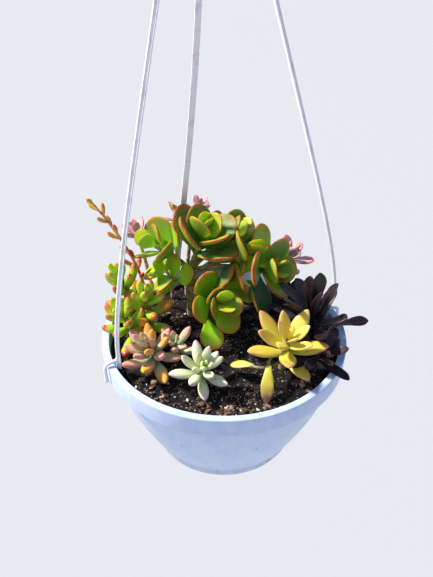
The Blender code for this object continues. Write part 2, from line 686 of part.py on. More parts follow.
def plants():
    """Every plant: its node name, its finish, and its stems with the leaves that each carries."""
    jade = dict(kind="jade", jitter=9, bend=5)
    bean = dict(kind="bean", jitter=9, bend=20)
    blush = dict(kind="finger", jitter=7, bend=20)
    frost = dict(kind="finger", jitter=6, bend=10)
    strap = dict(kind="strap", jitter=10, bend=-16)
    paddle = dict(kind="paddle", jitter=8, bend=10)
    fork = (-0.033, 0.056, 0.042)
    return {
        "jade_plant": (
            "jade",
            [
                stem((-0.034, 0.050), fork, 0.0054, leaves=0, **jade),
                branch(
                    [fork, (-0.032, 0.054, 0.058), (-0.024, 0.050, 0.070), (-0.021, 0.048, 0.090)],
                    0.0038, leaves=10, length=(0.054, 0.024), spread=degrees(56, 14), roll=0.75, **jade,
                ),
                branch(
                    [(-0.034, 0.055, 0.036), (-0.042, 0.056, 0.052), (-0.053, 0.054, 0.060), (-0.070, 0.052, 0.073)],
                    0.0034, leaves=8, length=(0.044, 0.024), spread=degrees(70, 24), roll=1.92, **jade,
                ),
                branch(
                    [fork, (-0.022, 0.058, 0.060), (-0.004, 0.062, 0.062), (0.010, 0.060, 0.084)],
                    0.0034, leaves=8, length=(0.047, 0.024), spread=degrees(64, 20), roll=0.15, **jade,
                ),
                branch(
                    [(-0.033, 0.055, 0.038), (-0.010, 0.048, 0.060), (0.034, 0.045, 0.043), (0.045, 0.032, 0.056)],
                    0.0034, leaves=10, length=(0.050, 0.025), spread=degrees(84, 26), roll=0.80, **jade,
                    **{"from": 0.80},
                ),
                branch(
                    [(-0.034, 0.052, 0.014), (-0.026, 0.034, 0.030), (-0.010, 0.020, 0.016), (-0.004, 0.004, 0.034)],
                    0.0032, leaves=10, length=(0.042, 0.024), spread=degrees(82, 26), roll=0.35, **jade,
                ),
                branch(
                    [(-0.034, 0.054, 0.026), (-0.020, 0.044, 0.040), (0.002, 0.036, 0.030), (0.010, 0.030, 0.050)],
                    0.0030, leaves=6, length=(0.046, 0.030), spread=degrees(62, 30), roll=0.1, **jade,
                ),
                branch(
                    [(-0.020, 0.050, 0.048), (-0.006, 0.048, 0.064), (0.016, 0.046, 0.052), (0.023, 0.040, 0.070)],
                    0.0030, leaves=6, length=(0.044, 0.028), spread=degrees(76, 32), roll=0.3, **jade,
                    **{"from": 0.70},
                ),
                branch(
                    [(-0.033, 0.051, 0.012), (-0.028, 0.034, 0.020), (-0.022, 0.018, 0.020), (-0.018, 0.004, 0.015)],
                    0.0026, leaves=1, length=(0.037, 0.037), spread=degrees(24, 24), roll=math.pi, **jade,
                    **{"from": 1.0},
                ),
                branch(
                    [(-0.035, 0.053, 0.024), (-0.044, 0.046, 0.040), (-0.054, 0.040, 0.034), (-0.058, 0.038, 0.050)],
                    0.0026, leaves=6, length=(0.034, 0.020), spread=degrees(78, 30), roll=1.1, **jade,
                ),
                branch(
                    [(-0.034, 0.055, 0.028), (-0.032, 0.068, 0.048), (-0.012, 0.082, 0.046), (-0.006, 0.090, 0.064)],
                    0.0030, leaves=6, length=(0.042, 0.022), spread=degrees(72, 25), roll=0.6, **jade,
                ),
            ],
        ),
        "jelly_bean_front": (
            "bean",
            [stem((-0.096, 0.002), (-0.103, -0.006, 0.033), 0.0028, leaves=15, length=(0.031, 0.020),
                  spread=degrees(98, 20), roll=0.0, **bean, **{"from": 0.3})],
        ),
        "jelly_bean_middle": (
            "bean",
            [stem((-0.080, 0.012), (-0.078, 0.002, 0.050), 0.0028, leaves=14, length=(0.030, 0.020),
                  spread=degrees(92, 20), roll=1.0, **bean, **{"from": 0.4})],
        ),
        "jelly_bean_back": (
            "bean",
            [stem((-0.096, 0.034), (-0.106, 0.028, 0.053), 0.0028, leaves=15, length=(0.030, 0.020),
                  spread=degrees(92, 20), roll=2.0, **bean, **{"from": 0.4})],
        ),
        "jelly_bean_tall": (
            "bean",
            [stem((-0.080, 0.046), (-0.1285, 0.052, 0.122), 0.0019, leaves=14, length=(0.015, 0.013),
                  spread=degrees(66, 30), roll=0.5, **bean)],
        ),
        "blush_rosette": (
            "blush",
            [stem((-0.070, -0.036), (-0.074, -0.042, 0.018), 0.0036, leaves=21, length=(0.034, 0.018),
                  spread=degrees(94, 15), roll=0.4, **blush, **{"from": 0.4})],
        ),
        "blush_offset": (
            "blush",
            [stem((-0.049, -0.028), (-0.049, -0.036, 0.018), 0.0028, leaves=9, length=(0.027, 0.016),
                  spread=degrees(78, 20), roll=1.4, **blush)],
        ),
        "frost_rosette": (
            "frost",
            [stem((-0.024, -0.062), (-0.022, -0.068, 0.014), 0.0030, leaves=16, length=(0.031, 0.013),
                  spread=degrees(90, 12), roll=0.2, **frost)],
        ),
        "golden_rosette": (
            "gold",
            [
                stem((0.057, -0.040), (0.060, -0.047, 0.029), 0.0040, leaves=15, length=(0.042, 0.018),
                     spread=degrees(86, 24), roll=0.6, kind="star", jitter=5, bend=4, shrink=3.0),
                branch(
                    [(0.057, -0.040, 0.000), (0.048, -0.046, 0.012), (0.041, -0.054, 0.014), (0.041, -0.064, 0.012)],
                    0.0018, leaves=1, length=(0.038, 0.038), spread=degrees(28, 28), roll=math.pi, kind="star",
                    jitter=3, bend=-14, broad=0.90, **{"from": 1.0},
                ),
                branch(
                    [(0.057, -0.040, -0.002), (0.048, -0.060, 0.007), (0.032, -0.070, 0.010), (0.0255, -0.060, 0.009)],
                    0.0018, leaves=1, length=(0.030, 0.030), spread=degrees(20, 20), roll=math.pi, kind="star",
                    jitter=3, bend=-10, broad=1.15, **{"from": 1.0},
                ),
            ],
        ),
        "aeonium_tall": (
            "strap",
            [
                stem((0.096, -0.004), (0.087, -0.008, 0.028), 0.0036, leaves=14, length=(0.052, 0.050),
                     spread=degrees(64, 4), roll=3.9, **strap),
                branch([(0.096, -0.004, -0.002), (0.098, -0.004, 0.008), (0.104, -0.003, 0.011),
                        (0.110, -0.002, 0.011)],
                       0.0020, leaves=1, length=(0.044, 0.044), spread=degrees(6, 6), roll=math.pi, kind="strap",
                       jitter=3, bend=-12, broad=1.05, **{"from": 1.0}),
            ],
        ),
        "aeonium_middle": (
            "strap",
            [stem((0.070, 0.024), (0.068, 0.018, 0.014), 0.0030, leaves=16, length=(0.046, 0.032),
                  spread=degrees(84, 20), roll=1.3, **strap)],
        ),
        "aeonium_front": (
            "strap",
            [stem((0.088, -0.042), (0.092, -0.046, 0.010), 0.0030, leaves=10, length=(0.040, 0.024),
                  spread=degrees(86, 20), roll=2.3, **strap)],
        ),
        "ghost_plant": (
            "paddle",
            [stem((-0.040, 0.086), (-0.0255, 0.080, 0.106), 0.0026, leaves=9, length=(0.019, 0.010),
                  spread=degrees(82, 15), roll=0.3, **paddle, **{"from": 0.92})],
        ),
        "ghost_withered": (
            "husk",
            [stem((-0.056, 0.080), (-0.050, 0.080, 0.100), 0.0020, leaves=6, length=(0.020, 0.014), kind="husk",
                  spread=degrees(130, 30), roll=0.3, jitter=14, bend=-30, **{"from": 0.84})],
        ),
        "ghost_offset": (
            "paddle",
            [stem((-0.078, 0.067), (-0.092, 0.071, 0.082), 0.0024, leaves=8, length=(0.022, 0.012),
                  spread=degrees(82, 15), roll=1.3, **paddle, **{"from": 0.88})],
        ),
        "paddle_plant": (
            "paddle",
            [stem((0.062, 0.076), (0.073, 0.076, 0.048), 0.0030, leaves=9, length=(0.030, 0.015),
                  spread=degrees(84, 20), roll=0.3, **paddle, **{"from": 0.8})],
        ),
    }


def build_plants(finishes):
    """Stems first, then leaf by leaf, each kept clear of the other nodes. Gives the stems that need a hole."""
    layout = plants()
    holes = []
    solid = {}
    for name, (_, stems) in layout.items():
        solid[name] = [tree_of(stem_rings(one)) for one in stems]
    strands = []
    for name in STRAND_AZIMUTHS:
        strands.append(BVHTree.FromObject(bpy.data.objects[name], bpy.context.evaluated_depsgraph_get()))
    for name, (finish, stems) in layout.items():
        obstacles = list(strands)
        for other, trees in solid.items():
            if other != name:
                obstacles += trees
        draw = random.Random(name)
        kept = []
        blades = []
        for one in stems:
            other_stems = [tree_of(stem_rings(other)) for other in stems if other is not one]
            for leaf in grow_leaves(one, draw):
                placed = settle(leaf, obstacles, other_stems + blades)
                if placed is not None:
                    kept.append(leaf_rings(placed))
                    blades.append(tree_of(blade_rings(placed)))
        solid[name] += [tree_of(rings) for rings in kept]
        parts = [loft(stem_rings(one)) for one in stems] + [loft(rings) for rings in kept]
        objects = [add_object(name if i == 0 else "piece", bm, finishes[finish]) for i, bm in enumerate(parts)]
        plant = boolean(objects[0], objects[1:], "UNION", solver="MANIFOLD")
        roots = [(one["base"], one["radii"][0], one["sides"]) for one in stems if one["rooted"]]
        merge_flat_faces(plant.data, FLAT_ANGLE, roots)
        holes += roots
        plant.data.shade_smooth()
        plant.data.set_sharp_from_angle(angle=math.radians(50))
    return holes


def main():
    clear_scene()
    plastic = material("white moulded plastic", (0.80, 0.82, 0.86), 0.42)
    soil_finish = material("potting soil", (0.020, 0.014, 0.011), 0.95)
    finishes = {
        "jade": material("jade leaf", (0.10, 0.27, 0.03), 0.35),
        "bean": material("jelly bean leaf", (0.45, 0.50, 0.05), 0.35),
        "blush": material("blush leaf", (0.62, 0.27, 0.20), 0.45),
        "frost": material("frosted leaf", (0.48, 0.58, 0.40), 0.5),
        "gold": material("golden leaf", (0.78, 0.58, 0.05), 0.4),
        "strap": material("dark aeonium leaf", (0.020, 0.010, 0.014), 0.3),
        "paddle": material("pale pink leaf", (0.70, 0.45, 0.40), 0.45),
        "husk": material("withered leaf", (0.55, 0.42, 0.26), 0.8),
    }
    make_pot(plastic)
    make_hook(plastic)
    for name in STRAND_AZIMUTHS:
        make_strand(name, plastic)
    bpy.context.view_layer.update()
    holes = build_plants(finishes)
    make_soil(soil_finish, holes)


main()
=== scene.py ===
"""The succulent hanging basket, dressed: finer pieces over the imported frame, their materials, light and camera.

The pot, its soil, the strands and the plants are set out about the centre of the pot's rim, as in the solids.
"""

import math
import random

import bmesh
import bpy
import numpy as np
from mathutils import Matrix, Vector, noise
from mathutils.bvhtree import BVHTree


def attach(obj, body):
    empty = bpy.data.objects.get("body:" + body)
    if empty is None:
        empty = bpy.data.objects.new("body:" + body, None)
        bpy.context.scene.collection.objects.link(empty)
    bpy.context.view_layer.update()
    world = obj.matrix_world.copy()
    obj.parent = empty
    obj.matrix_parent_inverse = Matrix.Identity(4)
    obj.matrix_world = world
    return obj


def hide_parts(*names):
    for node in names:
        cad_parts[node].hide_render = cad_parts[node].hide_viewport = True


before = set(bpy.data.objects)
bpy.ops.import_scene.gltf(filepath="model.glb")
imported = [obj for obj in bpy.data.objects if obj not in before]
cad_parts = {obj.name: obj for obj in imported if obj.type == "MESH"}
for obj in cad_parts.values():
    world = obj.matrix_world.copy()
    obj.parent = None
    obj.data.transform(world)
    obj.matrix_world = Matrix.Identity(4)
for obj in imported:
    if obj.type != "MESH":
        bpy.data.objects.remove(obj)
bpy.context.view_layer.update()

# Pot
# The real pot is injection-moulded polypropylene: a bowl with a turned-down rim, a foot ring and drain holes. It is
# drawn here as half an outline and spun about its axis, and the holes are drilled.
RIM_CENTRE = Vector((0.015, 0.005, -0.560))
RIM_RADIUS = 0.125
SKIRT_HEIGHT = 0.0211
POT_HEIGHT = 0.1411
BASE_RADIUS = 0.057
FOOT_INNER_RADIUS = 0.050
FOOT_RISE = 0.0016
WALL = 0.0020
WALL_TOP_RADIUS = 0.1206
WALL_END = -0.122
LIP_RADIUS = 0.1178
LIP_PLATE = 0.0026
SKIRT_WALL = 0.0016
FLOOR_TURN = 0.0065
DRAIN_HOLE_RADIUS = 0.0045
DRAIN_CIRCLE_RADIUS = 0.034


def wall_radius(height):
    """Outer radius of the pot's wall: steep at the top, rounding in to the base."""
    depth = -height
    return 0.1231 - 0.168 * depth - 1.72 * depth**2


def wall_points(count, inset):
    """The wall from under the rim to where it rounds in to the base."""
    heights = [-SKIRT_HEIGHT + (WALL_END + SKIRT_HEIGHT) * i / (count - 1) for i in range(count)]
    return [(wall_radius(height) - inset, height) for height in heights]


def rounded(corner, before, after, radius, steps=4):
    """Points that round a corner of an outline."""
    corner, before, after = Vector(corner), Vector(before), Vector(after)
    start = corner + (before - corner).normalized() * radius
    end = corner + (after - corner).normalized() * radius
    points = []
    for i in range(steps + 1):
        share = i / steps
        points.append(tuple(start.lerp(corner, share).lerp(corner.lerp(end, share), share)))
    return points


def spun(name, outline, steps, centre):
    """Half an outline of (radius, height) points, drawn point by point and spun about the upright axis at centre."""
    bpy.ops.object.select_all(action="DESELECT")
    bpy.ops.mesh.primitive_plane_add(size=0.01, location=(0, 0, 0))
    made = bpy.context.object
    made.name = name
    bpy.ops.object.mode_set(mode="EDIT")
    bpy.ops.mesh.merge(type="CENTER")
    bpy.ops.transform.translate(value=centre + Vector((outline[0][0], 0, outline[0][1])))
    for before, after in zip(outline, outline[1:]):
        step = (after[0] - before[0], 0, after[1] - before[1])
        bpy.ops.mesh.extrude_region_move(TRANSFORM_OT_translate={"value": step})
    bpy.ops.mesh.select_all(action="SELECT")
    bpy.ops.mesh.spin(steps=steps, angle=2 * math.pi, center=centre, axis=(0, 0, 1))
    bpy.ops.mesh.select_all(action="SELECT")
    bpy.ops.mesh.remove_doubles(threshold=0.000002)
    bpy.ops.mesh.normals_make_consistent(inside=False)
    bpy.ops.object.mode_set(mode="OBJECT")
    return made


def smooth_by_angle(obj, angle):
    bpy.ops.object.select_all(action="DESELECT")
    obj.select_set(True)
    bpy.context.view_layer.objects.active = obj
    bpy.ops.object.shade_smooth_by_angle(angle=math.radians(angle))


def apply_modifiers(obj):
    bpy.ops.object.select_all(action="DESELECT")
    obj.select_set(True)
    bpy.context.view_layer.objects.active = obj
    for modifier in list(obj.modifiers):
        bpy.ops.object.modifier_apply(modifier=modifier.name)


def at_origin(obj):
    """Puts the object's place in its mesh."""
    obj.data.transform(obj.matrix_world)
    obj.matrix_world = Matrix.Identity(4)


def join(pieces, name):
    """Several pieces of one kind as one object."""
    bpy.ops.object.select_all(action="DESELECT")
    for piece in pieces:
        piece.select_set(True)
    bpy.context.view_layer.objects.active = pieces[0]
    if len(pieces) > 1:
        bpy.ops.object.join()
    pieces[0].name = name
    return pieces[0]


def linear(code):
    """A colour from its sRGB hex code."""
    channels = [int(code[i : i + 2], 16) / 255 for i in (1, 3, 5)]
    return [c / 12.92 if c <= 0.04045 else ((c + 0.055) / 1.055) ** 2.4 for c in channels] + [1.0]


def add_node(tree, kind, settings=None, links=None):
    """A node with its settings and links; a setting that isn't the node's own is one of its sockets."""
    node = tree.nodes.new(kind)
    for key, value in (settings or {}).items():
        if key == "ramp":
            while len(node.color_ramp.elements) < len(value):
                node.color_ramp.elements.new(0.5)
            for element, stop in zip(node.color_ramp.elements, value):
                element.position = stop[0]
                element.color = linear(stop[1])
                element.alpha = stop[2] if len(stop) > 2 else 1.0
        elif isinstance(key, str) and hasattr(node, key):
            setattr(node, key, value)
        else:
            node.inputs[key].default_value = value
    for key, source in (links or {}).items():
        tree.links.new(source, node.inputs[key])
    return node


def new_material(name, settings):
    """A material with its Principled shader's fixed values; gives the material, its tree and the shader."""
    made = bpy.data.materials.new(name)
    made.use_nodes = True
    tree = made.node_tree
    shader = tree.nodes["Principled BSDF"]
    for key, value in settings.items():
        shader.inputs[key].default_value = value
    return made, tree, shader


def finish(obj, material, slot_name, *nodes):
    """The piece's material, the body it rides on, and the solids it stands for. slot_name is not used."""
    obj.data.materials.clear()
    obj.data.materials.append(material)
    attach(obj, "root")
    if nodes:
        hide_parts(*nodes)


skirt = -SKIRT_HEIGHT
floor_height = FOOT_RISE - POT_HEIGHT + WALL
inside_wall = wall_points(12, WALL)
low_radius, low_height = inside_wall[-1]
inside = [(0, floor_height), (BASE_RADIUS - 0.003, floor_height + 0.0004)]
inside += [(low_radius - FLOOR_TURN * share, low_height - FLOOR_TURN * share**0.8) for share in (1.0, 0.6, 0.25)]
lip_inner = (LIP_RADIUS, 0)
inside += inside_wall[::-1] + rounded(lip_inner, inside_wall[0], (RIM_RADIUS, 0), 0.0006)
rim = rounded((RIM_RADIUS, 0), lip_inner, (RIM_RADIUS - 0.001, skirt), 0.0016)
rim += rounded((RIM_RADIUS - 0.0010, skirt), (RIM_RADIUS, 0), (RIM_RADIUS - 0.003, skirt), 0.0006)
rim += [(RIM_RADIUS - 0.0010 - SKIRT_WALL, skirt), (RIM_RADIUS - SKIRT_WALL - 0.0005, -LIP_PLATE)]
outside = [(WALL_TOP_RADIUS, -LIP_PLATE)] + wall_points(12, 0)
turn_radius = wall_radius(WALL_END) - BASE_RADIUS
turn_drop = POT_HEIGHT + WALL_END
for step in range(1, 9):
    angle = math.radians(90 * step / 8)
    outside.append((BASE_RADIUS + turn_radius * math.cos(angle), WALL_END - turn_drop * math.sin(angle)))
foot = [(FOOT_INNER_RADIUS, -POT_HEIGHT), (FOOT_INNER_RADIUS - 0.0015, FOOT_RISE - POT_HEIGHT)]
foot += [(0, FOOT_RISE - POT_HEIGHT)]
pot = spun("pot_shell", inside + rim + outside + foot, 120, RIM_CENTRE)
drill_places = [(0, 0)]
for quarter in range(4):
    angle = 2 * math.pi * (quarter + 0.5) / 4
    drill_places.append((DRAIN_CIRCLE_RADIUS * math.cos(angle), DRAIN_CIRCLE_RADIUS * math.sin(angle)))
drills = []
for x, y in drill_places:
    bpy.ops.object.select_all(action="DESELECT")
    place = RIM_CENTRE + Vector((x, y, FOOT_RISE - POT_HEIGHT))
    bpy.ops.mesh.primitive_cylinder_add(vertices=20, radius=DRAIN_HOLE_RADIUS, depth=0.02, location=place)
    drills.append(bpy.context.object)
drill = join(drills, "drill")
cut = pot.modifiers.new("Drain holes", "BOOLEAN")
cut.operation = "DIFFERENCE"
cut.object = drill
cut.solver = "EXACT"
apply_modifiers(pot)
bpy.data.objects.remove(drill, do_unlink=True)
smooth_by_angle(pot, 40)

# Moulded white polypropylene: satin, a little see-through where it is thin, with the faint ripple of the mould. Its
# white is painted pale blue all over, a painted blue shade that stands in for the sky's light on its shaded side. Dried
# soil has run down its lower wall and its right side in streaks, with a few dark specks.
plastic, tree, shader = new_material(
    "moulded polypropylene",
    {"Roughness": 0.36, "IOR": 1.49, "Subsurface Weight": 0.12, "Subsurface Scale": 0.002, "Specular IOR Level": 0.5},
)
place = add_node(tree, "ShaderNodeTexCoord").outputs["Object"]
spot = add_node(tree, "ShaderNodeSeparateXYZ", links={0: place})
low_wall = add_node(
    tree, "ShaderNodeMapRange", {"From Min": RIM_CENTRE.z - 0.096, "From Max": RIM_CENTRE.z - POT_HEIGHT, "To Max": 0.20},
    {"Value": spot.outputs["Z"]},
).outputs[0]
right_side = add_node(
    tree, "ShaderNodeMapRange", {"From Min": RIM_CENTRE.x + 0.035, "From Max": RIM_CENTRE.x + 0.105, "To Max": 0.10},
    {"Value": spot.outputs["X"]},
).outputs[0]
under_rim = add_node(
    tree, "ShaderNodeMapRange", {"From Min": RIM_CENTRE.z - 0.030, "From Max": RIM_CENTRE.z - 0.060}, {"Value": spot.outputs["Z"]}
).outputs[0]
right_side = add_node(tree, "ShaderNodeMath", {"operation": "MULTIPLY"}, {0: right_side, 1: under_rim}).outputs[0]
stretched = add_node(tree, "ShaderNodeVectorMath", {"operation": "MULTIPLY", 1: (1.0, 1.0, 0.35)}, {0: place}).outputs[0]
streaks = add_node(tree, "ShaderNodeTexNoise", {"Scale": 95.0, "Detail": 7.0, "Roughness": 0.72}, {"Vector": stretched})
flecks = add_node(tree, "ShaderNodeTexNoise", {"Scale": 420.0, "Detail": 3.0, "Roughness": 0.6}, {"Vector": place})
soiled = add_node(tree, "ShaderNodeMath", {"operation": "ADD"}, {0: low_wall, 1: right_side}).outputs[0]
soiled = add_node(tree, "ShaderNodeMath", {"operation": "ADD"}, {0: soiled, 1: streaks.outputs["Fac"]}).outputs[0]
soiled = add_node(
    tree, "ShaderNodeMapRange", {"From Min": 0.60, "From Max": 0.82, "To Max": 0.62}, {"Value": soiled}
).outputs[0]
grit_spots = add_node(tree, "ShaderNodeTexVoronoi", {"Scale": 110.0}, {"Vector": place})
grit_draw = add_node(tree, "ShaderNodeSeparateColor", links={0: grit_spots.outputs["Color"]}).outputs[0]
chosen = add_node(
    tree, "ShaderNodeMapRange", {"From Min": 0.86, "From Max": 0.88}, {"Value": grit_draw}
).outputs[0]
speck = add_node(
    tree, "ShaderNodeMapRange", {"From Min": 0.12, "From Max": 0.07}, {"Value": grit_spots.outputs["Distance"]}
).outputs[0]
speck = add_node(tree, "ShaderNodeMath", {"operation": "MULTIPLY"}, {0: speck, 1: chosen}).outputs[0]
speck = add_node(tree, "ShaderNodeMath", {"operation": "MULTIPLY"}, {0: speck, 1: under_rim}).outputs[0]
# Painted shade: a pale blue base colour in place of white, so that the pot's shaded side turns blue.
painted_blue_shade = add_node(
    tree, "ShaderNodeValToRGB", {"ramp": [(0.35, "#bdd2f6"), (0.65, "#d3e1f9")]}, {"Fac": streaks.outputs["Fac"]}
).outputs["Color"]
pot_colour = add_node(
    tree, "ShaderNodeMix", {"data_type": "RGBA", 7: linear("#8d7a68")}, {0: soiled, 6: painted_blue_shade}
).outputs[2]
pot_colour = add_node(
    tree, "ShaderNodeMix", {"data_type": "RGBA", 7: linear("#33302f")}, {0: speck, 6: pot_colour}
).outputs[2]
tree.links.new(pot_colour, shader.inputs["Base Color"])
ripple = add_node(tree, "ShaderNodeBump", {"Strength": 0.12, "Distance": 0.0002}, {"Height": flecks.outputs["Fac"]})
tree.links.new(ripple.outputs["Normal"], shader.inputs["Normal"])
finish(pot, plastic, "white_plastic", "pot")

# Hanger hook
# The hook and its hub are one moulding: a round rod bent to a hook over a slotted disc, whose slots take the strands'
# heads. The disc is spun and slotted, and the rod is drawn along the hook's centre line.

# The hanger is moulded of the same white polypropylene, drawn thin, so it is glossier and lets more light through.
hanger_plastic, tree, shader = new_material(
    "thin moulded polypropylene",
    {"Roughness": 0.30, "IOR": 1.49, "Subsurface Weight": 0.25, "Subsurface Scale": 0.002, "Specular IOR Level": 0.5},
)
place = add_node(tree, "ShaderNodeTexCoord").outputs["Object"]
handled = add_node(tree, "ShaderNodeTexNoise", {"Scale": 90.0, "Detail": 5.0, "Roughness": 0.65}, {"Vector": place})
flow = add_node(tree, "ShaderNodeTexNoise", {"Scale": 700.0, "Detail": 2.0}, {"Vector": place})
hanger_colour = add_node(
    tree, "ShaderNodeValToRGB", {"ramp": [(0.30, "#d9d8d2"), (0.45, "#eef0f3"), (0.70, "#f4f6fa")]},
    {"Fac": handled.outputs["Fac"]},
).outputs["Color"]
tree.links.new(hanger_colour, shader.inputs["Base Color"])
ripple = add_node(tree, "ShaderNodeBump", {"Strength": 0.10, "Distance": 0.0002}, {"Height": flow.outputs["Fac"]})
tree.links.new(ripple.outputs["Normal"], shader.inputs["Normal"])
HOOK_INNER_RADIUS = 0.0144
HOOK_ROD_RADIUS = 0.0028
HUB_TOP = -0.0385
HUB_THICKNESS = 0.004
HUB_RADIUS = 0.0125
STRAND_WIDTH = 0.0066
STRAND_TOP_SCALE = 0.72
STRAND_HUB_RADIUS = 0.0072
STRAND_AZIMUTHS = {"strand_left": 204, "strand_right": 17, "strand_rear": 117}
UP = Vector((0, 0, 1))


def radial(azimuth):
    angle = math.radians(azimuth)
    return Vector((math.cos(angle), math.sin(angle), 0))


def bezier(points, fraction):
    """A point of the Bezier curve with the given control points."""
    left = list(points)
    while len(left) > 1:
        left = [a.lerp(b, fraction) for a, b in zip(left, left[1:])]
    return left[0]


def rod_along(name, path, radii, round_steps=4):
    """A round rod along a path, its ends closed, as a mesh."""
    curve = bpy.data.curves.new(name, "CURVE")
    curve.dimensions = "3D"
    curve.bevel_depth = 1.0
    curve.bevel_resolution = round_steps
    curve.use_fill_caps = True
    line = curve.splines.new("POLY")
    line.points.add(len(path) - 1)
    for point, spot, radius in zip(line.points, path, radii):
        point.co = (*spot, 1)
        point.radius = radius
    made = bpy.data.objects.new(name, curve)
    bpy.context.scene.collection.objects.link(made)
    bpy.ops.object.select_all(action="DESELECT")
    made.select_set(True)
    bpy.context.view_layer.objects.active = made
    bpy.ops.object.convert(target="MESH")
    made = bpy.context.object
    bpy.ops.object.mode_set(mode="EDIT")
    bpy.ops.mesh.select_all(action="SELECT")
    bpy.ops.mesh.remove_doubles(threshold=0.00001)
    bpy.ops.mesh.normals_make_consistent(inside=False)
    bpy.ops.object.mode_set(mode="OBJECT")
    return made


ring_radius = HOOK_INNER_RADIUS + HOOK_ROD_RADIUS
eye = Vector((0, 0, -HOOK_INNER_RADIUS))
hook_line = [Vector((0, 0, HUB_TOP - 0.002)), Vector((0, 0, HUB_TOP + 0.0015)), Vector((0, 0, HUB_TOP + 0.0035))]
hook_line += [Vector((0.0018, 0, HUB_TOP + 0.0060)), Vector((0.0055, 0, HUB_TOP + 0.0088))]
for step in range(41):
    angle = math.radians(-52 + 248 * step / 40)
    hook_line.append(eye + Vector((math.cos(angle), 0, math.sin(angle))) * ring_radius)
last = hook_line[-1]
heading = (last - hook_line[-2]).normalized()
hook_radii = [HOOK_ROD_RADIUS] * len(hook_line)
hook_radii[-2:] = [HOOK_ROD_RADIUS * 0.95, HOOK_ROD_RADIUS * 0.8]
rod = rod_along("rod", hook_line, hook_radii, round_steps=5)
hub_low = HUB_TOP - HUB_THICKNESS
hub_outline = [(0, HUB_TOP)] + rounded((HUB_RADIUS, HUB_TOP), (0, HUB_TOP), (HUB_RADIUS, hub_low), 0.0009)
hub_outline += rounded((HUB_RADIUS, hub_low), (HUB_RADIUS, HUB_TOP), (0, hub_low), 0.0009) + [(0, hub_low)]
hub = spun("hub", hub_outline, 64, Vector((0, 0, 0)))
slot_cutters = []
for azimuth in STRAND_AZIMUTHS.values():
    bpy.ops.object.select_all(action="DESELECT")
    middle = radial(azimuth) * (STRAND_HUB_RADIUS + 0.0052) + UP * (HUB_TOP - HUB_THICKNESS / 2)
    bpy.ops.mesh.primitive_cube_add(size=1, location=middle, rotation=(0, 0, math.radians(azimuth)))
    bpy.ops.transform.resize(value=(0.0136, STRAND_WIDTH * STRAND_TOP_SCALE + 0.001, 0.012), orient_type="LOCAL")
    slot_cutters.append(bpy.context.object)
slot_cutter = join(slot_cutters, "slots")
cut = hub.modifiers.new("Slots", "BOOLEAN")
cut.operation = "DIFFERENCE"
cut.object = slot_cutter
cut.solver = "EXACT"
apply_modifiers(hub)
bpy.data.objects.remove(slot_cutter, do_unlink=True)
hook = join([hub, rod], "hanger_hook_moulding")
smooth_by_angle(hook, 35)
finish(hook, hanger_plastic, "white_plastic", "hanger_hook")

# Strands
# Each strand is an extruded strip with a rib down its outer face. Its head sits above the hub, and its foot is widened
# inside the rim with a moulded hook over it. The strip's section is drawn out along its curve.
STRAND_APEX = Vector((-0.015, -0.005, 0.522))
STRAND_BASE = 0.0016
STRAND_RIB = 0.0018
STRAND_FOOT_RADIUS = 0.1122
STRAND_HEAD_RISE = 0.0034
STRAND_HANDLES = {
    "strand_left": ((0.1146, 0.0963), (0.0314, 0.3742)),
    "strand_right": ((0.1500, 0.0150), (0.0323, 0.3454)),
    "strand_rear": ((0.0973, 0.0896), (0.0060, 0.3169)),
}
# Half of the strip's section as (across, out) shares of its half width and of its thickness, from its edge inward.
STRIP_SIDE = [(1.0, 0.10), (1.0, 0.62), (0.92, 0.78), (0.56, 0.84)]


def strip_section(centre, along, across, width, scale):
    """A strip with rounded edges and a rounded rib down its outer face."""
    outward = across.cross(along)
    thick = STRAND_BASE * scale
    crest = thick + STRAND_RIB * scale
    half = width / 2
    right = [(half * x, thick * y) for x, y in STRIP_SIDE] + [(half * 0.44, crest * 0.86), (half * 0.30, crest)]
    outline = [(half * 0.94, 0)] + right + [(-x, y) for x, y in right[::-1]] + [(-half * 0.94, 0)]
    return [centre + across * x + outward * y for x, y in outline]


def direction_at(path, index):
    before = path[max(index - 1, 0)]
    after = path[min(index + 1, len(path) - 1)]
    return (after - before).normalized()


def drawn_out(name, rings):
    """A filled polygon extruded from ring to ring, each ring set in its place."""
    bpy.ops.object.select_all(action="DESELECT")
    bpy.ops.mesh.primitive_circle_add(vertices=len(rings[0]), radius=0.01, fill_type="NGON")
    made = bpy.context.object
    made.name = name
    bpy.ops.object.mode_set(mode="EDIT")
    for number, ring in enumerate(rings):
        if number:
            bpy.ops.mesh.extrude_region_move()
        live = bmesh.from_edit_mesh(made.data)
        chosen = [vert for vert in live.verts if vert.select]
        for vert, point in zip(chosen, ring):
            vert.co = point
        bmesh.update_edit_mesh(made.data)
    bpy.ops.mesh.select_all(action="SELECT")
    bpy.ops.mesh.normals_make_consistent(inside=False)
    bpy.ops.object.mode_set(mode="OBJECT")
    return made


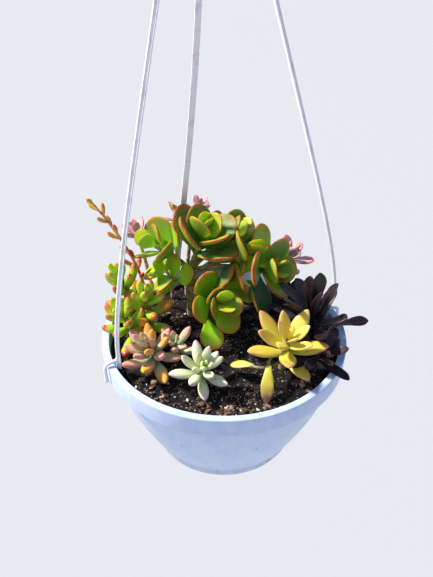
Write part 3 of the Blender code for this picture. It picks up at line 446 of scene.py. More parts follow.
for name, azimuth in STRAND_AZIMUTHS.items():
    outward = radial(azimuth)
    (reach_low, rise_low), (reach_high, rise_high) = STRAND_HANDLES[name]
    across = UP.cross(outward)
    foot_point = outward * STRAND_FOOT_RADIUS + UP * 0.0006
    top = STRAND_APEX + outward * STRAND_HUB_RADIUS
    handles = [
        foot_point + UP * 0.012,
        outward * reach_low + UP * rise_low,
        STRAND_APEX * (rise_high / STRAND_APEX.z) + outward * reach_high,
        top - UP * (HUB_THICKNESS + 0.0055),
    ]
    steps = 48
    curve = [bezier(handles, i / (steps - 1)) for i in range(steps)]
    narrowing = STRAND_WIDTH * (1 - STRAND_TOP_SCALE)
    stations = [(foot_point - UP * 0.0050, STRAND_WIDTH * 1.10, 1.2), (foot_point - UP * 0.0040, STRAND_WIDTH * 1.2, 1.3)]
    stations += [(foot_point, STRAND_WIDTH * 1.25, 1.3), (foot_point + UP * 0.006, STRAND_WIDTH * 1.2, 1.25)]
    stations += [(foot_point + UP * 0.0090, STRAND_WIDTH * 1.02, 1.02)]
    for i, point in enumerate(curve):
        stations.append((point, STRAND_WIDTH - narrowing * (i / (steps - 1)) ** 3, 1.0))
    neck = STRAND_WIDTH * STRAND_TOP_SCALE
    hub_face = Vector((top.x, top.y, HUB_TOP - RIM_CENTRE.z))
    for rise, width, scale in (
        (-HUB_THICKNESS - 0.0005, neck, 0.8),
        (0.0004, neck, 0.8),
        (0.0007, neck * 1.40, 0.92),
        (0.0011, neck * 1.45, 0.95),
        (STRAND_HEAD_RISE - 0.0004, neck * 1.45, 0.95),
        (STRAND_HEAD_RISE + 0.0003, neck * 1.30, 0.80),
    ):
        stations.append((hub_face + UP * rise, width, scale))
    rings = []
    points = [station[0] for station in stations]
    for i, (point, width, scale) in enumerate(stations):
        upright = i < 5 or i >= len(stations) - 6
        along = UP if upright else direction_at(points, i)
        rings.append([place + RIM_CENTRE for place in strip_section(point, along, across, width, scale)])
    strip = drawn_out(name + "_strip", rings)
    over_rim = [
        (STRAND_FOOT_RADIUS + 0.0010, 0.0052),
        (STRAND_FOOT_RADIUS + 0.0050, 0.0050),
        (LIP_RADIUS + 0.0030, 0.0044),
        (RIM_RADIUS - 0.0005, 0.0036),
        (RIM_RADIUS + 0.0022, 0.0018),
        (RIM_RADIUS + 0.0029, -0.0012),
        (RIM_RADIUS + 0.0030, -0.0050),
        (RIM_RADIUS + 0.0027, -0.0120),
        (RIM_RADIUS + 0.0026, -0.0165),
        (RIM_RADIUS + 0.0026, -0.0182),
        (RIM_RADIUS + 0.0026, -0.0190),
    ]
    tail = [outward * reach + UP * rise + RIM_CENTRE for reach, rise in over_rim]
    tail_radii = [0.0019, 0.0019, 0.0018, 0.0018, 0.0018, 0.0018, 0.0018, 0.0019, 0.0023, 0.0020, 0.0012]
    tail = rod_along("tail", tail, tail_radii)
    strand = join([strip, tail], name + "_moulding")
    smooth_by_angle(strand, 35)
    finish(strand, hanger_plastic, "white_plastic", name)

# Soil
# Damp potting mix fills the pot to just under its lip. Its crumbs and clods are raised on a fine mesh; its wall and
# underside follow the inside of the pot. Bark chips, grit and root hairs lie on it.
SOIL_LEVEL = -0.013
SOIL_EDGE_RADIUS = 0.1155
SOIL_GAP = 0.0005
SOIL_CELLS = 190


def soil_height(x, y):
    """The soil's rough top: a low mound with clods, lower against the wall."""
    clods = math.sin(170 * x + 1.3) * math.cos(190 * y - 0.4) + 0.6 * math.sin(310 * x - 230 * y)
    reach = math.hypot(x, y) / SOIL_EDGE_RADIUS
    return SOIL_LEVEL + 0.0009 * clods - 0.0012 * reach**4


def crumbs(x, y):
    """How far the crumbs stand off the mound: clods of 9 mm, crumbs of 3 mm, and grit of about 1 mm."""
    clod = 1 - noise.voronoi(Vector((x * 110, y * 110, 0)))[0][0]
    crumb = 1 - noise.voronoi(Vector((x * 330, y * 330, 4)))[0][0]
    grit = noise.noise(Vector((x * 900, y * 900, 9)))
    return 0.0012 * clod**2 + 0.0011 * crumb**2 + 0.0004 * grit - 0.0007


soil_reach = LIP_RADIUS - 0.0010
bpy.ops.object.select_all(action="DESELECT")
bpy.ops.mesh.primitive_grid_add(x_subdivisions=SOIL_CELLS, y_subdivisions=SOIL_CELLS, size=2 * soil_reach + 0.001)
soil = bpy.context.object
bpy.ops.object.mode_set(mode="EDIT")
live = bmesh.from_edit_mesh(soil.data)
for vert in live.verts:
    vert.select = vert.co.xy.length > soil_reach
live.select_flush_mode()
bpy.ops.mesh.delete(type="VERT")
live = bmesh.from_edit_mesh(soil.data)
for vert in live.verts:
    x, y = vert.co.xy
    vert.co.z = soil_height(x, y) + crumbs(x, y)
for edge in live.edges:
    edge.select_set(edge.is_boundary)
for vert in live.verts:
    if vert.is_boundary:
        vert.co.xy = vert.co.xy.normalized() * soil_reach
        vert.co.z = SOIL_LEVEL - 0.002
bmesh.update_edit_mesh(soil.data)
bpy.ops.mesh.select_mode(type="EDGE")
for radius, level in inside[:18][::-1]:
    if level > SOIL_LEVEL - 0.004 or radius == 0:
        continue
    bpy.ops.mesh.extrude_region_move()
    live = bmesh.from_edit_mesh(soil.data)
    lift = SOIL_GAP if level < WALL_END else 0
    for vert in live.verts:
        if vert.select:
            flat = vert.co.xy.normalized() * (radius - SOIL_GAP)
            vert.co = (flat.x, flat.y, level + lift)
    bmesh.update_edit_mesh(soil.data)
bpy.ops.mesh.edge_face_add()
bpy.ops.mesh.select_all(action="SELECT")
bpy.ops.mesh.normals_make_consistent(inside=False)
bpy.ops.object.mode_set(mode="OBJECT")
soil.name = "soil_fill"
soil.location = RIM_CENTRE
bpy.context.view_layer.update()
at_origin(soil)
smooth_by_angle(soil, 60)

# Damp peat and composted bark: near black with brown fibres, and paler where crumbs have dried.
peat, tree, shader = new_material("damp potting mix", {"Roughness": 0.92, "Specular IOR Level": 0.25})
place = add_node(tree, "ShaderNodeTexCoord").outputs["Object"]
damp = add_node(tree, "ShaderNodeTexNoise", {"Scale": 60.0, "Detail": 8.0, "Roughness": 0.75}, {"Vector": place})
grains = add_node(tree, "ShaderNodeTexVoronoi", {"Scale": 700.0}, {"Vector": place})
soil_colour = add_node(
    tree,
    "ShaderNodeValToRGB",
    {"ramp": [(0.30, "#0f0e10"), (0.52, "#191518"), (0.68, "#2a211e"), (0.84, "#4d3c30")]},
    {"Fac": damp.outputs["Fac"]},
).outputs["Color"]
grain_tone = add_node(
    tree, "ShaderNodeSeparateColor", links={0: grains.outputs["Color"]}
).outputs[0]
dry_grain = add_node(
    tree, "ShaderNodeMapRange", {"From Min": 0.90, "From Max": 0.97, "To Max": 0.85}, {"Value": grain_tone}
).outputs[0]
soil_colour = add_node(
    tree, "ShaderNodeMix", {"data_type": "RGBA", 7: linear("#8b6f55")}, {0: dry_grain, 6: soil_colour}
).outputs[2]
tree.links.new(soil_colour, shader.inputs["Base Color"])
rough = add_node(
    tree, "ShaderNodeBump", {"Strength": 0.9, "Distance": 0.0006}, {"Height": grains.outputs["Distance"]}
)
tree.links.new(rough.outputs["Normal"], shader.inputs["Normal"])
finish(soil, peat, "potting_soil", "soil")

# Bark chips and grit
# Chips of composted bark and bits of perlite on the soil, most of them washed to the front against the rim. One chip
# is knocked out of a ball, and copied flat, turned and scaled.
draw = random.Random("chips on the soil")


def chip_pattern(name, roughness_of_shape, flatness):
    """A small broken lump."""
    bpy.ops.object.select_all(action="DESELECT")
    bpy.ops.mesh.primitive_ico_sphere_add(subdivisions=2, radius=1)
    made = bpy.context.object
    made.name = name
    for vert in made.data.vertices:
        swell = 1 + roughness_of_shape * noise.noise(vert.co * 1.3 + Vector((3, 7, 1)))
        vert.co = Vector((vert.co.x * 1.35, vert.co.y, vert.co.z * flatness)) * swell
    return made


def scatter(pattern, spots, name):
    """Copies of the pattern at (x, y, size), half sunk in the soil."""
    copies = []
    for x, y, size in spots:
        copy = pattern.copy()
        copy.data = pattern.data.copy()
        bpy.context.scene.collection.objects.link(copy)
        turn = Matrix.Rotation(draw.uniform(0, math.tau), 4, "Z") @ Matrix.Rotation(draw.uniform(-0.5, 0.5), 4, "X")
        spot = Vector((x, y, soil_height(x, y) + 0.0010 + size * 0.15))
        shape = Matrix.Diagonal((size, size * draw.uniform(0.5, 1.0), size * draw.uniform(0.6, 1.1), 1))
        copy.data.transform(Matrix.Translation(RIM_CENTRE + spot) @ turn @ shape)
        copies.append(copy)
    bpy.data.objects.remove(pattern, do_unlink=True)
    return join(copies, name)


def spots_on_soil(count, clusters, size, spread, loose):
    """Places for chips: a share of them loose all over the soil, and the rest in clusters."""
    spots = []
    while len(spots) < count:
        if draw.random() < loose:
            reach, angle = 0.112 * math.sqrt(draw.random()), draw.uniform(0, math.tau)
            x, y = reach * math.cos(angle), reach * math.sin(angle)
        else:
            x, y = draw.choice(clusters)
            x += draw.gauss(0, spread)
            y += draw.gauss(0, spread)
        if math.hypot(x, y) < 0.112:
            spots.append((x, y, size[0] + (size[1] - size[0]) * draw.random() ** 2.5))
    return spots


chip_clusters = [
    (-0.073, -0.064), (-0.060, -0.082), (-0.054, -0.088), (-0.025, -0.088), (-0.020, -0.094), (-0.001, -0.102),
    (0.013, -0.101), (0.022, -0.102), (0.082, -0.066), (0.073, -0.056), (-0.052, 0.034), (0.040, -0.098),
]
chips = scatter(
    chip_pattern("chip", 0.8, 0.45), spots_on_soil(210, chip_clusters, (0.0007, 0.0036), 0.0055, 0.22), "bark_chips"
)
grit = scatter(
    chip_pattern("grit", 0.5, 0.8), spots_on_soil(110, chip_clusters, (0.0004, 0.0014), 0.008, 0.25), "perlite_grit"
)
for lumps in (chips, grit):
    smooth_by_angle(lumps, 30)

# Dried bark: tan to grey-brown, each chip its own shade.
bark, tree, shader = new_material("composted bark", {"Roughness": 0.85, "Specular IOR Level": 0.3})
place = add_node(tree, "ShaderNodeTexCoord").outputs["Object"]
chip_tone = add_node(tree, "ShaderNodeTexNoise", {"Scale": 130.0, "Detail": 2.0}, {"Vector": place})
fibre = add_node(tree, "ShaderNodeTexNoise", {"Scale": 1500.0, "Detail": 3.0}, {"Vector": place})
chip_colour = add_node(
    tree,
    "ShaderNodeValToRGB",
    {"ramp": [(0.34, "#33261f"), (0.50, "#6b5241"), (0.60, "#a58664"), (0.70, "#dac4a4")]},
    {"Fac": chip_tone.outputs["Fac"]},
).outputs["Color"]
tree.links.new(chip_colour, shader.inputs["Base Color"])
rough = add_node(tree, "ShaderNodeBump", {"Strength": 0.5, "Distance": 0.0003}, {"Height": fibre.outputs["Fac"]})
tree.links.new(rough.outputs["Normal"], shader.inputs["Normal"])
finish(chips, bark, "potting_soil")

# Perlite and shell grit: puffed white mineral, dusty.
perlite, tree, shader = new_material("perlite", {"Roughness": 0.8, "Specular IOR Level": 0.3})
place = add_node(tree, "ShaderNodeTexCoord").outputs["Object"]
dust = add_node(tree, "ShaderNodeTexNoise", {"Scale": 260.0, "Detail": 3.0}, {"Vector": place})
grit_colour = add_node(
    tree, "ShaderNodeValToRGB", {"ramp": [(0.35, "#a8967f"), (0.6, "#f1ece2")]}, {"Fac": dust.outputs["Fac"]}
).outputs["Color"]
tree.links.new(grit_colour, shader.inputs["Base Color"])
finish(grit, perlite, "potting_soil")

# Root hairs, dry stalks and a twig
# Dead root hairs lie curled on the soil, pale dry stalks lean among the stems, and a dry twig leans on the rim at the
# right. Each is a thin rod along a curve.
hairs = []
for count in range(46):
    reach, angle = 0.104 * math.sqrt(draw.random()), draw.uniform(0, math.tau)
    x, y = reach * math.cos(angle), reach * math.sin(angle)
    if count < 6:
        x, y = 0.023 + draw.gauss(0, 0.004), -0.074 + draw.gauss(0, 0.004)
    heading, turn = draw.uniform(0, math.tau), draw.uniform(-0.7, 0.7)
    line = []
    for step in range(7):
        line.append(RIM_CENTRE + Vector((x, y, soil_height(x, y) + 0.0009 + 0.0007 * math.sin(step * 1.7))))
        x += 0.0022 * math.cos(heading)
        y += 0.0022 * math.sin(heading)
        heading += turn
        if math.hypot(x, y) > 0.111:
            break
    if len(line) > 3:
        hairs.append(rod_along("hair", line, [0.00016] * len(line), round_steps=0))
hairs = join(hairs, "root_hairs")
hairs.data.shade_smooth()
stalks = []
for ends in (
    ((-0.0425, 0.046, 0.0345), (-0.050, 0.040, 0.031), (-0.060, 0.035, 0.024)),
    ((-0.060, 0.035, 0.024), (-0.066, 0.036, 0.006), (-0.068, 0.036, -0.014)),
    ((0.115, 0.008, 0.0125), (0.109, -0.004, 0.013), (0.098, -0.015, -0.002)),
    ((0.098, -0.015, -0.002), (0.096, -0.018, -0.009), (0.096, -0.019, -0.014)),
):
    line = [RIM_CENTRE + bezier([Vector(end) for end in ends], step / 9) for step in range(10)]
    stalks.append(rod_along("stalk", line, [0.0009 - 0.00004 * step for step in range(10)], round_steps=2))
stalks = join(stalks, "dry_stalks")
stalks.data.shade_smooth()

# Dead plant fibre: straw to grey-brown, matt.
straw, tree, shader = new_material("dry plant fibre", {"Roughness": 0.8, "Subsurface Weight": 0.1, "Subsurface Scale": 0.001})
place = add_node(tree, "ShaderNodeTexCoord").outputs["Object"]
grain = add_node(tree, "ShaderNodeTexNoise", {"Scale": 240.0, "Detail": 4.0}, {"Vector": place})
straw_colour = add_node(
    tree, "ShaderNodeValToRGB", {"ramp": [(0.38, "#7d6347"), (0.55, "#c2a67c"), (0.68, "#e6d6b2")]},
    {"Fac": grain.outputs["Fac"]},
).outputs["Color"]
tree.links.new(straw_colour, shader.inputs["Base Color"])
finish(hairs, straw, "potting_soil")
finish(stalks, straw, "withered_leaf")

# Where the plants stand
# Every stem of every plant, set out before any leaf, because each leaf is kept clear of the other plants' stems. The
# rules that lay out stems and leaves are those of the solids, with the same seeded draws.
ROOT_DEPTH = -0.034
COLLAR_RISE = 0.0042
LEAF_CLEARANCE = 0.0005
STEM_SIDES = 5
GOLDEN_ANGLE = math.radians(137.508)


def loft(rings):
    """A closed skin over rings of points; a ring of one point is a tip."""
    live = bmesh.new()
    made = [[live.verts.new(point) for point in ring] for ring in rings]
    for first, second in zip(made, made[1:]):
        count = max(len(first), len(second))
        for i in range(count):
            j = (i + 1) % count
            corners = [first[i % len(first)], first[j % len(first)], second[j % len(second)], second[i % len(second)]]
            face = []
            for corner in corners:
                if corner not in face:
                    face.append(corner)
            live.faces.new(face)
    for end in (made[0], made[-1]):
        if len(end) > 2:
            live.faces.new(end)
    bmesh.ops.triangulate(live, faces=live.faces)
    bmesh.ops.recalc_face_normals(live, faces=live.faces)
    return live


def tree_of(rings):
    live = loft(rings)
    made = BVHTree.FromBMesh(live)
    live.free()
    return made


def tube_rings(path, radii, sides):
    """Rings of a round rod along a path, carried along without twist."""
    rings = []
    side = Vector((1, 0, 0))
    for index, point in enumerate(path):
        along = direction_at(path, index)
        side = (side - along * side.dot(along)).normalized()
        other = along.cross(side)
        ring = []
        for i in range(sides):
            angle = 2 * math.pi * (i + 0.5) / sides
            ring.append(point + (side * math.cos(angle) + other * math.sin(angle)) * radii[index])
        rings.append(ring)
    return rings


def stem(base, tip, radius, **more):
    """A stem that rises straight from its hole in the soil and curves to its tip."""
    base = Vector((base[0], base[1], 0))
    tip = Vector(tip)
    bottom = Vector((base.x, base.y, ROOT_DEPTH))
    collar = Vector((base.x, base.y, SOIL_LEVEL + COLLAR_RISE))
    middle = collar + UP * max((tip.z - collar.z) * 0.5, 0.002)
    handles = [collar, middle, tip]
    path = [bottom] + [bezier(handles, i / 4) for i in range(5)]
    radii = [radius] * 2 + [radius * (1 - 0.10 * i) for i in range(1, 5)]
    made = dict(path=path, radii=radii, handles=handles, bottom=bottom)
    made.update(more)
    made.setdefault("from", 0.5)
    return made


def branch(points, radius, **more):
    """A branch whose first point lies inside the stem that it leaves."""
    handles = [Vector(point) for point in points]
    path = [bezier(handles, i / 5) for i in range(6)]
    made = dict(path=path, radii=[radius * (1 - 0.07 * i) for i in range(6)], handles=handles, bottom=None)
    made.update(more)
    made.setdefault("from", 0.5)
    return made


def degrees(first, last):
    return (math.radians(first), math.radians(last))


jade = dict(kind="jade", jitter=9, bend=5)
bean = dict(kind="bean", jitter=9, bend=20)
blush = dict(kind="finger", jitter=7, bend=20)
frost = dict(kind="finger", jitter=6, bend=10)
strap = dict(kind="strap", jitter=10, bend=-16)
paddle = dict(kind="paddle", jitter=8, bend=10)
fork = (-0.033, 0.056, 0.042)
PLANTING = {
    "jade_plant": [
        stem((-0.034, 0.050), fork, 0.0054, leaves=0, **jade),
        branch(
            [fork, (-0.032, 0.054, 0.058), (-0.024, 0.050, 0.070), (-0.021, 0.048, 0.090)],
            0.0038, leaves=10, length=(0.054, 0.024), spread=degrees(56, 14), roll=0.75, **jade,
        ),
        branch(
            [(-0.034, 0.055, 0.036), (-0.042, 0.056, 0.052), (-0.053, 0.054, 0.060), (-0.070, 0.052, 0.073)],
            0.0034, leaves=8, length=(0.044, 0.024), spread=degrees(70, 24), roll=1.92, **jade,
        ),
        branch(
            [fork, (-0.022, 0.058, 0.060), (-0.004, 0.062, 0.062), (0.010, 0.060, 0.084)],
            0.0034, leaves=8, length=(0.047, 0.024), spread=degrees(64, 20), roll=0.15, **jade,
        ),
        branch(
            [(-0.033, 0.055, 0.038), (-0.010, 0.048, 0.060), (0.034, 0.045, 0.043), (0.045, 0.032, 0.056)],
            0.0034, leaves=10, length=(0.050, 0.025), spread=degrees(84, 26), roll=0.80, **jade,
            **{"from": 0.80},
        ),
        branch(
            [(-0.034, 0.052, 0.014), (-0.026, 0.034, 0.030), (-0.010, 0.020, 0.016), (-0.004, 0.004, 0.034)],
            0.0032, leaves=10, length=(0.042, 0.024), spread=degrees(82, 26), roll=0.35, **jade,
        ),
        branch(
            [(-0.034, 0.054, 0.026), (-0.020, 0.044, 0.040), (0.002, 0.036, 0.030), (0.010, 0.030, 0.050)],
            0.0030, leaves=6, length=(0.046, 0.030), spread=degrees(62, 30), roll=0.1, **jade,
        ),
        branch(
            [(-0.020, 0.050, 0.048), (-0.006, 0.048, 0.064), (0.016, 0.046, 0.052), (0.023, 0.040, 0.070)],
            0.0030, leaves=6, length=(0.044, 0.028), spread=degrees(76, 32), roll=0.3, **jade,
            **{"from": 0.70},
        ),
        branch(
            [(-0.033, 0.051, 0.012), (-0.028, 0.034, 0.020), (-0.022, 0.018, 0.020), (-0.018, 0.004, 0.015)],
            0.0026, leaves=1, length=(0.037, 0.037), spread=degrees(24, 24), roll=math.pi, **jade,
            **{"from": 1.0},
        ),
        branch(
            [(-0.035, 0.053, 0.024), (-0.044, 0.046, 0.040), (-0.054, 0.040, 0.034), (-0.058, 0.038, 0.050)],
            0.0026, leaves=6, length=(0.034, 0.020), spread=degrees(78, 30), roll=1.1, **jade,
        ),
        branch(
            [(-0.034, 0.055, 0.028), (-0.032, 0.068, 0.048), (-0.012, 0.082, 0.046), (-0.006, 0.090, 0.064)],
            0.0030, leaves=6, length=(0.042, 0.022), spread=degrees(72, 25), roll=0.6, **jade,
        ),
    ],
    "jelly_bean_front": [
        stem((-0.096, 0.002), (-0.103, -0.006, 0.033), 0.0028, leaves=15, length=(0.031, 0.020),
             spread=degrees(98, 20), roll=0.0, **bean, **{"from": 0.3}),
    ],
    "jelly_bean_middle": [
        stem((-0.080, 0.012), (-0.078, 0.002, 0.050), 0.0028, leaves=14, length=(0.030, 0.020),
             spread=degrees(92, 20), roll=1.0, **bean, **{"from": 0.4}),
    ],
    "jelly_bean_back": [
        stem((-0.096, 0.034), (-0.106, 0.028, 0.053), 0.0028, leaves=15, length=(0.030, 0.020),
             spread=degrees(92, 20), roll=2.0, **bean, **{"from": 0.4}),
    ],
    "jelly_bean_tall": [
        stem((-0.080, 0.046), (-0.1285, 0.052, 0.122), 0.0019, leaves=14, length=(0.015, 0.013),
             spread=degrees(66, 30), roll=0.5, **bean),
    ],
    "blush_rosette": [
        stem((-0.070, -0.036), (-0.074, -0.042, 0.018), 0.0036, leaves=21, length=(0.034, 0.018),
             spread=degrees(94, 15), roll=0.4, **blush, **{"from": 0.4}),
    ],
    "blush_offset": [
        stem((-0.049, -0.028), (-0.049, -0.036, 0.018), 0.0028, leaves=9, length=(0.027, 0.016),
             spread=degrees(78, 20), roll=1.4, **blush),
    ],
    "frost_rosette": [
        stem((-0.024, -0.062), (-0.022, -0.068, 0.014), 0.0030, leaves=16, length=(0.031, 0.013),
             spread=degrees(90, 12), roll=0.2, **frost),
    ],
    "golden_rosette": [
        stem((0.057, -0.040), (0.060, -0.047, 0.029), 0.0040, leaves=15, length=(0.042, 0.018),
             spread=degrees(86, 24), roll=0.6, kind="star", jitter=5, bend=4, shrink=3.0),
        branch(
            [(0.057, -0.040, 0.000), (0.048, -0.046, 0.012), (0.041, -0.054, 0.014), (0.041, -0.064, 0.012)],
            0.0018, leaves=1, length=(0.038, 0.038), spread=degrees(28, 28), roll=math.pi, kind="star",
            jitter=3, bend=-14, broad=0.90, **{"from": 1.0},
        ),
        branch(
            [(0.057, -0.040, -0.002), (0.048, -0.060, 0.007), (0.032, -0.070, 0.010), (0.0255, -0.060, 0.009)],
            0.0018, leaves=1, length=(0.030, 0.030), spread=degrees(20, 20), roll=math.pi, kind="star",
            jitter=3, bend=-10, broad=1.15, **{"from": 1.0},
        ),
    ],
    "aeonium_tall": [
        stem((0.096, -0.004), (0.087, -0.008, 0.028), 0.0036, leaves=14, length=(0.052, 0.050),
             spread=degrees(64, 4), roll=3.9, **strap),
        branch(
            [(0.096, -0.004, -0.002), (0.098, -0.004, 0.008), (0.104, -0.003, 0.011), (0.110, -0.002, 0.011)],
            0.0020, leaves=1, length=(0.044, 0.044), spread=degrees(6, 6), roll=math.pi, kind="strap",
            jitter=3, bend=-12, broad=1.05, **{"from": 1.0},
        ),
    ],
    "aeonium_middle": [
        stem((0.070, 0.024), (0.068, 0.018, 0.014), 0.0030, leaves=16, length=(0.046, 0.032),
             spread=degrees(84, 20), roll=1.3, **strap),
    ],
    "aeonium_front": [
        stem((0.088, -0.042), (0.092, -0.046, 0.010), 0.0030, leaves=10, length=(0.040, 0.024),
             spread=degrees(86, 20), roll=2.3, **strap),
    ],
    "ghost_plant": [
        stem((-0.040, 0.086), (-0.0255, 0.080, 0.106), 0.0026, leaves=9, length=(0.019, 0.010),
             spread=degrees(82, 15), roll=0.3, **paddle, **{"from": 0.92}),
    ],
    "ghost_withered": [
        stem((-0.056, 0.080), (-0.050, 0.080, 0.100), 0.0020, leaves=6, length=(0.020, 0.014), kind="husk",
             spread=degrees(130, 30), roll=0.3, jitter=14, bend=-30, **{"from": 0.84}),
    ],
    "ghost_offset": [
        stem((-0.078, 0.067), (-0.092, 0.071, 0.082), 0.0024, leaves=8, length=(0.022, 0.012),
             spread=degrees(82, 15), roll=1.3, **paddle, **{"from": 0.88}),
    ],
    "paddle_plant": [
        stem((0.062, 0.076), (0.073, 0.076, 0.048), 0.0030, leaves=9, length=(0.030, 0.015),
             spread=degrees(84, 20), roll=0.3, **paddle, **{"from": 0.8}),
    ],
}
solid = {}
for name, stems in PLANTING.items():
    solid[name] = [tree_of(tube_rings(one["path"], one["radii"], STEM_SIDES)) for one in stems]
strand_trees = []
for name in STRAND_AZIMUTHS:
    strand_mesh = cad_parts[name].data
    corners = [vert.co - RIM_CENTRE for vert in strand_mesh.vertices]
    strand_trees.append(BVHTree.FromPolygons(corners, [list(face.vertices) for face in strand_mesh.polygons]))

# How a leaf grows
# A leaf leaves its stem at an angle, bends evenly and closes at its tip. One that would cross a neighbour is turned
# or shortened. The kinds are given as shares of the leaf's length; "widest" is a place along it, "tip" how blunt it is.
LEAF_KINDS = {
    "jade": dict(width=0.76, depth=0.125, root=0.20, widest=0.62, tip=0.50, cup=0.15, rings=4, box=2.7),
    "bean": dict(width=0.38, depth=0.36, root=0.42, widest=0.64, tip=0.50, cup=0.0, rings=3, box=2.0),
    "finger": dict(width=0.35, depth=0.26, root=0.38, widest=0.60, tip=0.60, cup=0.0, rings=3, box=2.1),
    "star": dict(width=0.38, depth=0.17, root=0.42, widest=0.57, tip=0.64, cup=0.10, rings=4, box=2.0),
    "strap": dict(width=0.30, depth=0.06, root=0.34, widest=0.76, tip=0.60, cup=0.16, rings=4, box=2.2),
    "paddle": dict(width=0.56, depth=0.17, root=0.30, widest=0.62, tip=0.62, cup=0.12, rings=4, box=2.4),
    "husk": dict(width=0.40, depth=0.12, root=0.40, widest=0.45, tip=0.90, cup=0.30, rings=3, box=2.0),
}
LEAF_STATIONS = {3: (0.0, 0.50, 0.87, 1.0), 4: (0.0, 0.30, 0.62, 0.90, 1.0)}


def outline_at(kind, fraction):
    """Half width over the widest half width."""
    if fraction <= kind["widest"]:
        rise = math.sin(0.5 * math.pi * fraction / kind["widest"])
        return kind["root"] + (1 - kind["root"]) * rise**1.6
    left = (1 - fraction) / (1 - kind["widest"])
    return math.sin(0.5 * math.pi * max(left, 0)) ** kind["tip"]


def ground_height(x, y):
    """The lowest height that a leaf may reach here: over the soil, the rim, or nothing past the rim."""
    reach = math.hypot(x, y)
    if reach > RIM_RADIUS + 0.004:
        return -1.0
    over_soil = soil_height(x, y) + LEAF_CLEARANCE
    over_lip = LEAF_CLEARANCE + 0.0004
    blend = min(max((reach - 0.100) / (0.1145 - 0.100), 0), 1)
    return over_soil + (over_lip - over_soil) * blend


def midrib(leaf, fraction):
    """The leaf's centre line at a fraction of its length, its face's direction there, and how far it has turned."""
    angle = leaf["bend"] * fraction
    length, bend = leaf["length"], leaf["bend"]
    if abs(bend) < 0.001:
        forward, rise = fraction * length, 0.0
    else:
        forward = length * math.sin(angle) / bend
        rise = length * (1 - math.cos(angle)) / bend
    centre = leaf["root"] + leaf["along"] * forward + leaf["upward"] * rise
    return centre, leaf["upward"] * math.cos(angle) - leaf["along"] * math.sin(angle), angle


def leaf_rings(leaf, grow=0.0):
    """Rings of the plain leaf; grow thickens it all round, for the test of what it would touch."""
    kind = LEAF_KINDS[leaf["kind"]]
    across = leaf["along"].cross(leaf["upward"])
    half_width = leaf["length"] * kind["width"] * leaf["broad"] / 2
    half_depth = leaf["length"] * kind["depth"] / 2
    rings = []
    lifted = 0.0
    for fraction in LEAF_STATIONS[kind["rings"]]:
        centre, normal, angle = midrib(leaf, fraction)
        share = outline_at(kind, fraction)
        wide = half_width * share + grow
        deep = half_depth * share**0.7 + grow
        ring = []
        if fraction == 1.0:
            ring.append(centre + (leaf["along"] * math.cos(angle) + leaf["upward"] * math.sin(angle)) * grow)
        else:
            for i in range(4):
                x, y = math.cos(math.pi * i / 2), math.sin(math.pi * i / 2)
                raised = deep * y * (0.75 if y > 0 else 1.0) + kind["cup"] * wide * x * x
                ring.append(centre + across * (wide * x) + normal * raised)
        for point in ring:
            lifted += max(ground_height(point.x, point.y) - (point.z + lifted), 0)
        rings.append([point + UP * lifted for point in ring])
    return rings


def grow_leaves(one, draw):
    """Leaves of one stem, from the lowest to the tip: spirals, or crossed pairs on a jade stem."""
    path = one["path"]
    count = one["leaves"]
    pairs = one["kind"] == "jade"
    leaves = []
    for index in range(count):
        level = index // 2 if pairs else index
        levels = (count + 1) // 2 if pairs else count
        rise = level / max(levels - 1, 1)
        spot = (one["from"] + (1 - one["from"]) * rise) * (len(path) - 1)
        low = min(int(spot), len(path) - 2)
        root = path[low].lerp(path[low + 1], spot - low)
        axis = (path[low + 1] - path[low]).normalized()
        if pairs:
            azimuth = one["roll"] + level * math.pi / 2 + (index % 2) * math.pi
        else:
            azimuth = one["roll"] + index * GOLDEN_ANGLE
        spread = one["spread"][0] + (one["spread"][1] - one["spread"][0]) * rise
        size = one["length"][0] + (one["length"][1] - one["length"][0]) * rise ** one.get("shrink", 1.6)
        azimuth += math.radians(draw.uniform(-one["jitter"], one["jitter"]))
        spread += math.radians(draw.uniform(-one["jitter"], one["jitter"]) * 0.7)
        size *= draw.uniform(0.90, 1.08)
        bend = math.radians(one["bend"] + draw.uniform(-8, 8))
        hint = Vector((0, -1, 0)) if abs(axis.z) > 0.3 else UP
        first = (hint - axis * hint.dot(axis)).normalized()
        outward = first * math.cos(azimuth) + axis.cross(first) * math.sin(azimuth)
        leaves.append(
            dict(
                root=root + outward * 0.35 * one["radii"][-1],
                along=axis * math.cos(spread) + outward * math.sin(spread),
                upward=axis * math.sin(spread) - outward * math.cos(spread),
                length=size, kind=one["kind"], bend=bend, broad=one.get("broad", 1.0), age=rise,
            )
        )
    return leaves


TRIALS = [(0, 0, 1.0)]
for shorter in (1.0, 0.85, 0.7):
    for tilt in (12, -12, 24, -24, 36, 48):
        for swing in (0, 14, -14, 28, -28):
            TRIALS.append((tilt, swing, shorter))


def turned_leaf(leaf, tilt, swing, shorter):
    tilt, swing = math.radians(tilt), math.radians(swing)
    across = leaf["along"].cross(leaf["upward"])
    along = leaf["along"] * math.cos(swing) + across * math.sin(swing)
    moved = dict(leaf)
    moved["along"] = along * math.cos(tilt) + leaf["upward"] * math.sin(tilt)
    moved["upward"] = leaf["upward"] * math.cos(tilt) - along * math.sin(tilt)
    moved["length"] = leaf["length"] * shorter
    return moved


def settle(leaf, others, own):
    """The leaf bent clear of other plants and the strands, and of its own plant where that can be done."""
    spare = None
    for tilt, swing, shorter in TRIALS:
        trial = turned_leaf(leaf, tilt, swing, shorter)
        skin = tree_of(leaf_rings(trial, grow=LEAF_CLEARANCE * 0.8))
        if any(skin.overlap(other) for other in others):
            continue
        blade = tree_of(leaf_rings(trial, grow=0.0001)[1:])
        if not any(blade.overlap(other) for other in own):
            return trial
        spare = spare or trial
    return spare


